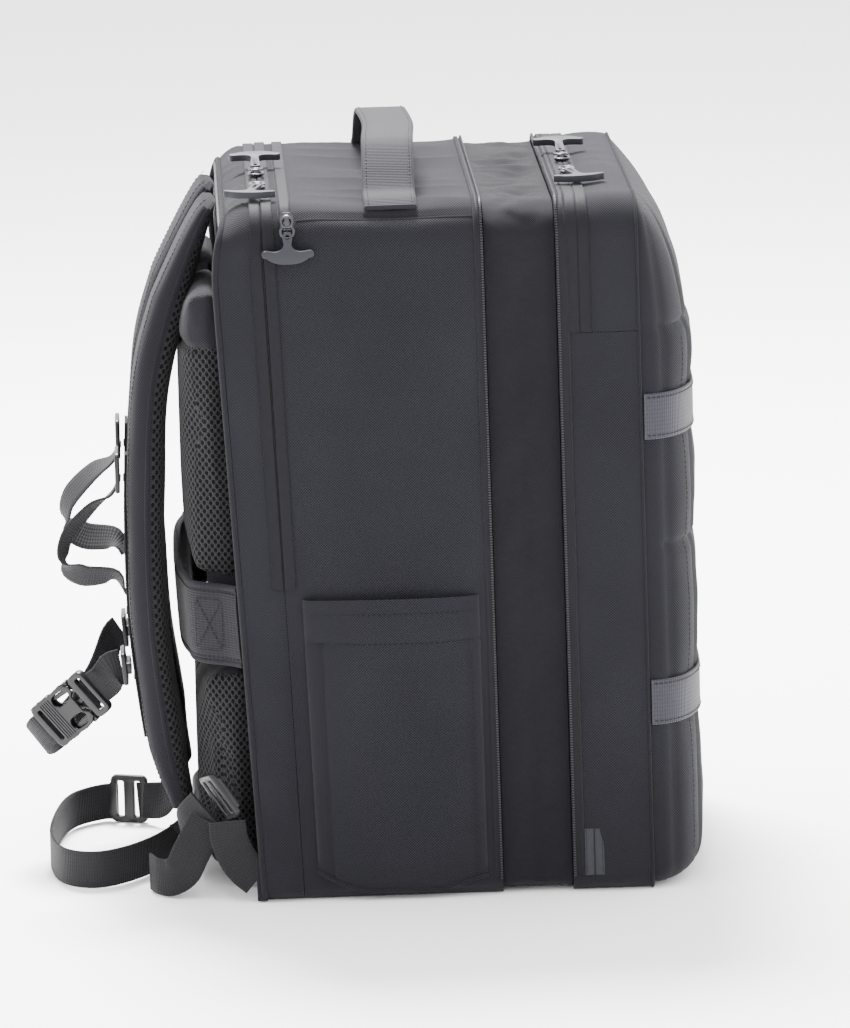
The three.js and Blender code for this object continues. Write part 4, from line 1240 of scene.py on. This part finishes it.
def pad_block(name, low, high, face):
    """A crowned block on the bag's wall. low and high are (X, Z) corners."""
    across, up = np.linspace(low[0], high[0], 24), np.linspace(low[1], high[1], 36)
    x, z = np.meshgrid(across, up)
    edge = np.minimum(np.minimum(x - low[0], high[0] - x), np.minimum(z - low[1], high[1] - z))
    wall_y = REAR_FACE + 1 * MM + z * LEAN_REAR
    rise = np.clip(edge / (11 * MM), 0, 1)
    full = puff(x, low[0], high[0], 0.3) * puff(z, low[1], high[1], 0.2)
    shoulder = np.sqrt(1 - (1 - rise) ** 2)
    y = wall_y + 2 * MM + (face - PAD_CROWN - wall_y) * shoulder + (PAD_CROWN - 3 * MM) * full
    outer = np.stack([x, y, z], axis=-1)
    inward = np.zeros_like(outer)
    inward[..., 1] = wall_y - y
    return sheet_solid(name, outer, inward, PAD_MESH)


def sewn_channel(piece, axis, place, width, depth):
    """Draws the pad's face in along one sewn line."""
    data = piece.data
    points = np.array([v.co for v in data.vertices])
    normals = np.array([v.normal for v in data.vertices])
    pull = depth * groove(points[:, axis], place, width) * np.clip(normals[:, 1:2].ravel(), 0, 1)
    points -= normals * pull[:, None]
    data.vertices.foreach_set("co", points.astype(np.float32).ravel())


def second_material(piece, material, chosen):
    """Gives the faces whose middle and normal are chosen a second material."""
    piece.data.materials.append(material)
    for face in piece.data.polygons:
        if chosen(face.center, face.normal):
            face.material_index = 1


def copied_across(piece, name):
    """The same piece on the other side of the bag."""
    twin = piece.copy()
    twin.data = piece.data.copy()
    twin.name = name
    bpy.context.scene.collection.objects.link(twin)
    twin.data.transform(Matrix.Scale(-1, 4, (1, 0, 0)))
    twin.data.flip_normals()
    return twin


def back_pads():
    low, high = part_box("upper_back_pad_right")
    yoke = 362 * MM
    right = pad_block("upper_pad_right", (low.x + 3 * MM, low.z - 3 * MM), (high.x - 3 * MM, high.z - 3 * MM),
                      high.y - 3 * MM)
    inflated(right)
    sewn_channel(right, 2, yoke, 3 * MM, 3.5 * MM)
    box_map(right)
    second_material(right, CLOTH, lambda place, normal: place.z > yoke)
    left = copied_across(right, "upper_pad_left")
    for piece, side in ((right, "right"), (left, "left")):
        settle(piece, "bag", "mesh", f"upper_back_pad_{side}")
    hem = pad_block("pad_hem_right", (low.x + 4 * MM, low.z - 22 * MM), (high.x - 5 * MM, low.z + 10 * MM),
                    148 * MM)
    hem.data.materials[0] = STRAP_CLOTH
    settle(copied_across(hem, "pad_hem_left"), "bag", "cloth")
    settle(hem, "bag", "cloth")
    low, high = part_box("lumbar_pad")
    lumbar = pad_block("lumbar_cushion", (low.x + 3 * MM, low.z + 3 * MM), (high.x - 3 * MM, high.z - 3 * MM),
                       high.y - 2 * MM)
    inflated(lumbar)
    sewn_channel(lumbar, 0, 0, 3 * MM, 6 * MM)
    box_map(lumbar)
    second_material(lumbar, STRAP_CLOTH, lambda place, normal: normal.z > 0.8)
    settle(lumbar, "bag", "mesh", "lumbar_pad")


def trolley_sleeve():
    """A wide band that a suitcase's handle passes behind, sewn down at both sides."""
    low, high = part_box("trolley_sleeve")
    foot, top = low.z, high.z + 2 * MM
    half = [(143 * MM, 118 * MM), (134 * MM, 127 * MM), (119 * MM, 146.5 * MM), (92 * MM, 152 * MM),
            (61 * MM, 156 * MM), (0, 157 * MM)]
    line = mirrored_route([(x, y, (foot + top) / 2) for x, y in half])
    centres = smooth_route(line, 3 * MM)
    base = np.column_stack([centres[:, :2], np.full(len(centres), (foot + top) / 2)])
    heights = np.linspace(-1, 1, 17)
    crown = 1.6 * MM * (1 - heights ** 6)
    tangent = np.gradient(base, axis=0)
    outward = -unit(np.cross(tangent, (0, 0, 1)))
    outward *= np.sign(outward[len(outward) // 2, 1])
    grid = base[:, None] + outward[:, None] * crown[None, :, None]
    grid[..., 2] += heights * (top - foot) / 2
    sleeve = sheet_solid("trolley_band", lean(grid), -outward[:, None] * (2.2 * MM + crown[None, :, None]),
                         SLEEVE_WEB)
    settle(sleeve, "bag", "webbing", "trolley_sleeve")
    rows = []
    for level in (1, -2):
        rows.append(stitches("sleeve_sewing", lean(grid)[:, level] + outward * 0.3 * MM, outward))
    for side in (1, -2):
        end = lean(grid)[8 if side > 0 else -9]
        middle = end[len(end) // 2] + outward[8 if side > 0 else -9] * 0.4 * MM
        along = tangent[8 if side > 0 else -9]
        along = along / np.linalg.norm(along)
        rows.append(crossed_box("sleeve_cross", middle, along, (0, 0, 1), 20 * MM, 34 * MM))
    for edge, level in (("top", -1), ("foot", 0)):
        line = lean(grid)[:, level]
        line = line - outward * 1.1 * MM
        binding = swept(f"sleeve_binding_{edge}", line, outward, round_section(2.4 * MM), BINDING)
        settle(binding, "bag", "webbing")
    settle(join("sleeve_stitches", rows), "bag", "webbing")


# ---- Shoulder straps ------------------------------------------------------------------
STRAP_WIDTH, STRAP_THICKNESS, STRAP_TAPER = 62 * MM, 25 * MM, 3.5
STRAP_LINE = [(40, 135.5, 448), (40, 142, 441), (42, 155, 412), (47, 169, 374), (54, 180, 329),
              (60, 185, 265), (62, 186, 202), (60, 184, 155), (55, 176, 87), (50, 167.5, 46)]


def strap_stations(first, last, step, offset):
    """Places on the right strap's middle line, its outward direction and its share of thickness."""
    line = smooth_route(np.array(STRAP_LINE) * MM, step)
    share = np.linspace(0, 1, len(line))
    tangent = np.gradient(line, axis=0)
    outward = unit(np.cross((1.0, 0.0, 0.0), tangent))
    outward *= np.sign(outward[:, 1:2])
    depth = np.minimum(1, np.minimum(0.4 + share * STRAP_TAPER, 0.62 + (1 - share) * STRAP_TAPER))
    kept = (share >= first) & (share <= last)
    return (line + outward * offset)[kept], outward[kept], depth[kept], share[kept]


def shoulder_strap():
    """A crowned foam strap: woven cloth outside, spacer mesh inside, bound along its edges."""
    line, outward, depth, share = strap_stations(0, 1, 4 * MM, 0)
    angle = np.linspace(-math.pi / 2, 3 * math.pi / 2, 48, endpoint=False)
    across = np.sign(np.cos(angle)) * np.abs(np.cos(angle)) ** 0.5
    swell = np.sign(np.sin(angle)) * np.abs(np.sin(angle)) ** 0.62
    narrow = 1 - 0.22 * np.clip((share - 0.86) / 0.14, 0, 1) ** 1.5 - 0.1 * np.clip(1 - share / 0.05, 0, 1)
    soft = 1 + 0.03 * np.sin(share * 31)
    ends = np.sqrt(1 - np.clip(1 - np.minimum(share, 1 - share) / 0.012, 0, 1) ** 2 * 0.7)
    section = np.zeros((len(line), len(angle), 2))
    section[..., 0] = across * (STRAP_WIDTH / 2 - 1 * MM) * (narrow * ends)[:, None]
    section[..., 1] = swell * (STRAP_THICKNESS / 2) * (depth * soft * ends)[:, None]
    right = swept("strap_pad_right", line, (1, 0, 0), section, STRAP_CLOTH, normals=outward, wrapped=True)
    data = right.data
    data.materials.append(STRAP_MESH)
    for face in data.polygons:
        station = int(np.argmin(np.sum((line - np.array(face.center)) ** 2, axis=1)))
        offset = float(np.dot(np.array(face.center) - line[station], outward[station]))
        face.material_index = int(offset < -0.12 * STRAP_THICKNESS)
    edges = []
    for side in (-1, 1):
        reach = side * (STRAP_WIDTH / 2 - 1.2 * MM) * narrow * ends
        edge_line = line + np.array([1, 0, 0]) * reach[:, None]
        edges.append(swept("strap_binding", edge_line - outward * 0.8 * MM, outward,
                           flat_section(3.4 * MM, 1.8 * MM, 3), BINDING))
    binding = join("strap_binding_right", edges)
    rows = []
    for side in (-1, 1):
        seam = line + outward * (depth * STRAP_THICKNESS / 2 * 0.93)[:, None]
        seam = seam + np.array([1, 0, 0]) * (side * (STRAP_WIDTH / 2 - 9 * MM) * narrow)[:, None]
        rows.append(stitches("strap_sewing", seam, outward))
    sewing = join("strap_stitches_right", rows)
    for piece, stem, part in ((right, "strap_pad", "cloth"), (binding, "strap_binding", "webbing"),
                              (sewing, "strap_stitches", "webbing")):
        left = copied_across(piece, f"{stem}_left")
        settle(piece, "strap_right", part)
        settle(left, "strap_left", part)
        if stem == "strap_pad":
            for pad, side in ((piece, "right"), (left, "left")):
                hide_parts(f"shoulder_strap_{side}")


def both(piece, stem, part, node):
    """Settles a right-hand piece and its twin on the two straps."""
    piece.name = f"{stem}_right"
    left = copied_across(piece, f"{stem}_left")
    settle(piece, "strap_right", part, f"{node}_right")
    settle(left, "strap_left", part, f"{node}_left")


def slotted_frame(name, width, length, thick, slots, material):
    """A flat moulded frame with slots for webbing."""
    outline = rounded_rectangle(width, length, 4 * MM)
    holes = [rounded_rectangle(width - 8 * MM, 4.6 * MM, 1.6 * MM, (0, middle)) for middle in slots]
    return moulding(name, outline, thick, material, 0.9 * MM, holes)


def strap_fittings():
    crown = STRAP_THICKNESS / 2 + 1.1 * MM
    line, outward, _, _ = strap_stations(0.42, 0.88, 4 * MM, crown)
    rail = swept("rail", line, (1, 0, 0), flat_section(20 * MM, 1.8 * MM), STRAP_WEB, normals=outward)
    both(rail, "rail_webbing", "webbing", "strap_rail")
    tacks = []
    for i in range(4, len(line) - 4, 11):
        middle = line[i] + outward[i] * 1.1 * MM
        tack = np.linspace(middle - np.array([9 * MM, 0, 0]), middle + np.array([9 * MM, 0, 0]), 10)
        for shift in (-0.8, 0.8):
            tacks.append(stitches("tack", tack + np.array([0, 0, shift * MM]), outward[i],
                                  pitch=1.8 * MM, length=1.6 * MM))
    row = join("rail_tacks_right", tacks)
    settle(copied_across(row, "rail_tacks_left"), "strap_left", "webbing")
    settle(row, "strap_right", "webbing")
    glide = slotted_frame("triglide", 32 * MM, 27 * MM, 3 * MM, (-6.5 * MM, 6.5 * MM), BLACK_PLASTIC)
    placed(glide, (1, 0, 0), (0, 0, 1), (58 * MM, 203.5 * MM, 273 * MM))
    both(glide, "triglide", "plastic", "strap_triglide")
    loop = [(58, 202, 268, 1, 0, 0), (58, 208, 257, 1, 0.1, 0), (60, 222, 248, 0.9, 0.1, 0.5),
            (64, 238, 230, 0.6, 0, 0.8), (66, 240, 214, 0.5, 0.3, 0.8), (64, 228, 204, 0.6, 0.1, 0.8),
            (60, 208, 202, 0.8, 0, 0.6), (58, 201.5, 192, 1, 0, 0.2)]
    both(webbing_on("loop", loop, 20 * MM, LOOP_WEB), "loop_webbing", "webbing", "strap_loop")


WEBBING_THICKNESS, WEBBING_STEP = 1.8 * MM, 2.5 * MM


def webbing_on(name, route, width, material):
    """Flat webbing along a route of (X, Y, Z, direction of its width), in millimetres."""
    line = smooth_route(np.array(route, float), WEBBING_STEP / MM)
    section = flat_section(width, WEBBING_THICKNESS)
    return swept(name, line[:, :3] * MM, unit(line[:, 3:]), section, material)


# ---- Chest strap ----------------------------------------------------------------------
LEG_START = Vector((-57, 211, 135)) * MM
BUCKLE_AXIS = Vector((0.44, 0.66, -0.61)).normalized()
BUCKLE_ACROSS = Vector((0.1, 0.66, 0.75))
BUCKLE_PLACE = LEG_START + BUCKLE_AXIS * 24 * MM


def leg(distance):
    return tuple((LEG_START + BUCKLE_AXIS * distance * MM) / MM)


def in_buckle(piece):
    across = BUCKLE_ACROSS - BUCKLE_AXIS * BUCKLE_ACROSS.dot(BUCKLE_AXIS)
    return placed(piece, across, BUCKLE_AXIS, BUCKLE_PLACE)


def chest_slider(name, side):
    """The clip that slides on a strap's rail and holds the chest webbing's end."""
    base = moulding(name, rounded_rectangle(30 * MM, 22 * MM, 3.5 * MM), 3.2 * MM, BLACK_PLASTIC, 0.9 * MM,
                    [rounded_rectangle(22 * MM, 2.6 * MM, 1 * MM, (0, 7 * MM)),
                     rounded_rectangle(22 * MM, 2.6 * MM, 1 * MM, (0, -7 * MM))])
    bar = moulding("bar", rounded_rectangle(26 * MM, 8 * MM, 2.5 * MM), 3.4 * MM, BLACK_PLASTIC, 0.9 * MM)
    lifted(bar, 2.8 * MM)
    return placed(join(name, [base, bar]), (1, 0, 0), (0, 0.09, 0.996), (side * 57 * MM, 203 * MM, 141 * MM))


def buckle_plug():
    """The buckle's plug: a webbing bar, two hooked side prongs and a middle guide."""
    base = slotted_frame("plug_base", 34 * MM, 13 * MM, 6 * MM, (-1 * MM,), BLACK_PLASTIC)
    parts = [base]
    half_prong = ((9.6, 5.5), (9.9, 14), (10.4, 22), (11.6, 26),
                  (13, 24.5), (13.4, 20), (13.3, 13), (13, 5.5))
    for side in (-1, 1):
        prong = [(side * x * MM, y * MM) for x, y in half_prong]
        parts.append(moulding("prong", prong[::side], 3 * MM, BLACK_PLASTIC, 0.6 * MM))
    guide = [(-1.6 * MM, 5.5 * MM), (1.6 * MM, 5.5 * MM), (1.1 * MM, 26 * MM), (-1.1 * MM, 26 * MM)]
    parts.append(moulding("guide", guide, 2.6 * MM, BLACK_PLASTIC, 0.5 * MM))
    return in_buckle(join("buckle_plug_moulding", parts))


def buckle_socket():
    """The buckle's socket: a shell with side windows, a ribbed grip and a webbing slot."""
    half = ((17, 40), (16.4, 34), (16.2, 26), (17, 18), (16, 11), (13, 7.4), (9, 7.6), (6, 11))
    arch = [(13, 44), (15.5, 43), *half]
    arch = [(x * MM, y * MM) for x, y in (*arch, *((-x, y) for x, y in arch[::-1]))]
    holes = [rounded_rectangle(25 * MM, 3.4 * MM, 1.4 * MM, (0, 38.2 * MM))]
    holes += [rounded_rectangle(8.6 * MM, 14.6 * MM, 4.2 * MM, (side * 9.6 * MM, 18.4 * MM), 6)
              for side in (-1, 1)]
    parts = []
    for level in (-3.2, 3.2):
        plate = moulding("plate", arch, 1.6 * MM, BLACK_PLASTIC, 0.6 * MM, holes)
        parts.append(lifted(plate, level * MM))
    for side in (-1, 1):
        for low, high in ((7.6, 11), (27, 33)):
            cheek = moulding("cheek", rounded_rectangle(3 * MM, (high - low) * MM, 1 * MM,
                                                        (side * 15.5 * MM, (low + high) / 2 * MM)),
                             5.2 * MM, BLACK_PLASTIC, 0.3 * MM)
            parts.append(cheek)
    parts.append(moulding("end", rounded_rectangle(33.4 * MM, 4 * MM, 1.4 * MM, (0, 34.2 * MM)), 5.4 * MM,
                          BLACK_PLASTIC, 0.3 * MM))
    parts.append(moulding("lip", rounded_rectangle(33.4 * MM, 3.4 * MM, 1.4 * MM, (0, 42 * MM)), 5.4 * MM,
                          BLACK_PLASTIC, 0.3 * MM))
    for k in range(5):
        for level in (-4.1, 4.1):
            rib = moulding("rib", rounded_rectangle(29 * MM, 1.1 * MM, 0.5 * MM, (0, (27.4 + 1.9 * k) * MM)),
                           0.9 * MM, BLACK_PLASTIC, 0.3 * MM)
            parts.append(lifted(rib, level * MM))
    return in_buckle(join("buckle_socket_moulding", parts))


def chest_strap():
    for name, side in (("left", -1), ("right", 1)):
        node = f"chest_slider_{name}"
        settle(chest_slider(f"chest_clip_{name}", side), node, "plastic", node)
    width = tuple(BUCKLE_ACROSS)
    near = [(-57, 205, 140, 0.2, 0.1, 0.97), (-57, 211.9, 138, 0.2, 0.1, 0.97),
            (*leg(7), *width), (*leg(16.5), *width)]
    settle(webbing_on("chest_web_left", near, 24 * MM, STRAP_WEB), "chest_slider_left", "webbing",
           "chest_webbing_left")
    settle(buckle_plug(), "chest_slider_left", "plastic", "buckle_plug")
    settle(buckle_socket(), "buckle_socket", "plastic", "buckle_socket")
    far = [(*leg(69.5), *width), (*leg(74), *width), (-14, 263, 82, 0.3, 0.6, 0.75),
           (4, 256, 80, 0, 0.6, 0.8), (28, 238, 90, -0.1, 0.5, 0.85), (45, 221, 112, -0.2, 0.4, 0.9), (53, 213, 133, -0.2, 0.1, 0.97),
           (57, 206, 140, -0.2, 0.1, 0.97)]
    web = webbing_on("chest_web_right", far, 24 * MM, LOOP_WEB)
    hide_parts("chest_webbing_right")
    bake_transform(web)


# ---- Lower adjusting webbing ----------------------------------------------------------
LEFT_KEEPER = [(-51, 167, 36, 1, 0, 0), (-61, 167.5, 24.5, 0.7, 0, 0.7), (-88, 168, 28, 0, 0.1, 1),
               (-112, 165, 45, 0, 0.3, 0.95), (-129, 154, 61, 0.1, 0.5, 0.85)]
LEFT_WEBBING = [(-142, 139, 54, 0.2, 0.9, -0.2), (-144, 138, 43, 0.1, 0.9, -0.3),
                (-145, 134, 32, 0, 0.85, -0.5), (-146, 128, 23, 0, 0.75, -0.65),
                (-147, 120, 16, 0, 0.6, -0.8)]
LEFT_TAIL = [(-131, 152, 52, 0.3, 0.9, 0.2), (-133, 158, 41, 0.25, 0.8, 0.4),
             (-134, 164, 30, 0.15, 0.5, 0.75), (-133, 169, 20, 0.05, 0.2, 0.95),
             (-130, 177, 14.5, 0, 0, 1), (-122, 185, 13.5, 0, 0, 1), (-108, 190, 13.5, 0, 0, 1)]
RIGHT_KEEPER = [(51, 166.5, 39.5, 1, 0, 0), (54, 171, 30, 0.9, 0, 0.4), (60, 180, 20, 0.5, 0, 0.8),
                (68, 189, 17, 0.1, 0, 1), (74, 198, 16, 0, 0, 1)]
RIGHT_WEBBING = [(78, 212, 14), (81, 222, 14), (62, 242, 13.5), (20, 252, 13.5), (-40, 256, 13.5),
                 (-84, 248, 13.5), (-100, 228, 13.5), (-88, 206, 13.5), (-56, 184, 13.5), (-10, 168, 13.5),
                 (50, 159.5, 13.5),
                 (100, 159.5, 13.5), (134, 148, 15), (146, 132, 16), (147, 118, 15)]


def ladder_lock(name, across, along, place):
    frame_part = slotted_frame(name, 33 * MM, 26 * MM, 4 * MM, (-6 * MM, 6 * MM), BLACK_PLASTIC)
    lip = moulding("lip", rounded_rectangle(24 * MM, 5 * MM, 2 * MM, (0, 11 * MM)), 2.4 * MM,
                   BLACK_PLASTIC, 0.7 * MM)
    lifted(lip, 1.8 * MM)
    return placed(join(name, [frame_part, lip]), across, along, tuple(c * MM for c in place))


def lower_webbing():
    settle(webbing_on("keeper_left", LEFT_KEEPER, WEBBING, STRAP_WEB), "strap_left", "webbing",
           "strap_keeper_left")
    settle(webbing_on("keeper_right", RIGHT_KEEPER, WEBBING, STRAP_WEB), "strap_right", "webbing",
           "strap_keeper_right")
    settle(ladder_lock("lock_left", (0.1, 0.55, 0.83), (-0.8, -0.3, 0.2), (-138, 143, 70)), "strap_left",
           "plastic", "ladder_lock_left")
    settle(ladder_lock("lock_right", (0, 0, 1), (0.3, 0.95, 0), (76, 204, 17)), "strap_right", "plastic",
           "ladder_lock_right")
    settle(webbing_on("tail_left", LEFT_TAIL, WEBBING, STRAP_WEB), "strap_left", "webbing",
           "webbing_tail_left")
    near = webbing_on("adjuster_left", LEFT_WEBBING, WEBBING, STRAP_WEB)
    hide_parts("adjuster_webbing_left")
    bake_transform(near)
    long_webbing()
    corner_wings()


def long_webbing():
    """The far side's spare webbing, which lies on the floor behind the bag in one loose loop."""
    route = smooth_route(np.array(RIGHT_WEBBING, float), 4)
    far = webbing_on("adjuster_right", [(*place, 0, 0, 1) for place in RIGHT_WEBBING], WEBBING, STRAP_WEB)
    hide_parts("adjuster_webbing_right")
    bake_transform(far)


def corner_wings():
    """The sewn cloth wings at the bag's lower corners that hold the webbing's ends."""
    for name, side in (("left", -1), ("right", 1)):
        corners = [(side * 149 * MM, 114 * MM), (side * 149 * MM, 121 * MM), (side * 128 * MM, 117.5 * MM),
                   (side * 128 * MM, 114.5 * MM)]
        wing = moulding(f"corner_wing_{name}", corners[::side], 30 * MM, CLOTH, 1.2 * MM)
        settle(lifted(wing, 16 * MM), "bag", "cloth")


# ---- The whole bag --------------------------------------------------------------------
add_camera()
add_studio()
main_cover()
rear_cover()
inner_parts()
gusset()
front_cover()
flap_cover()
front_quilt()
zips()
sliders_and_pulls()
side_pocket("pocket_left", "side_pocket_left", -1)
side_pocket("pocket_right", "side_pocket_right", 1)
carry_handle()
back_pads()
trolley_sleeve()
shoulder_strap()
strap_fittings()
chest_strap()
lower_webbing()
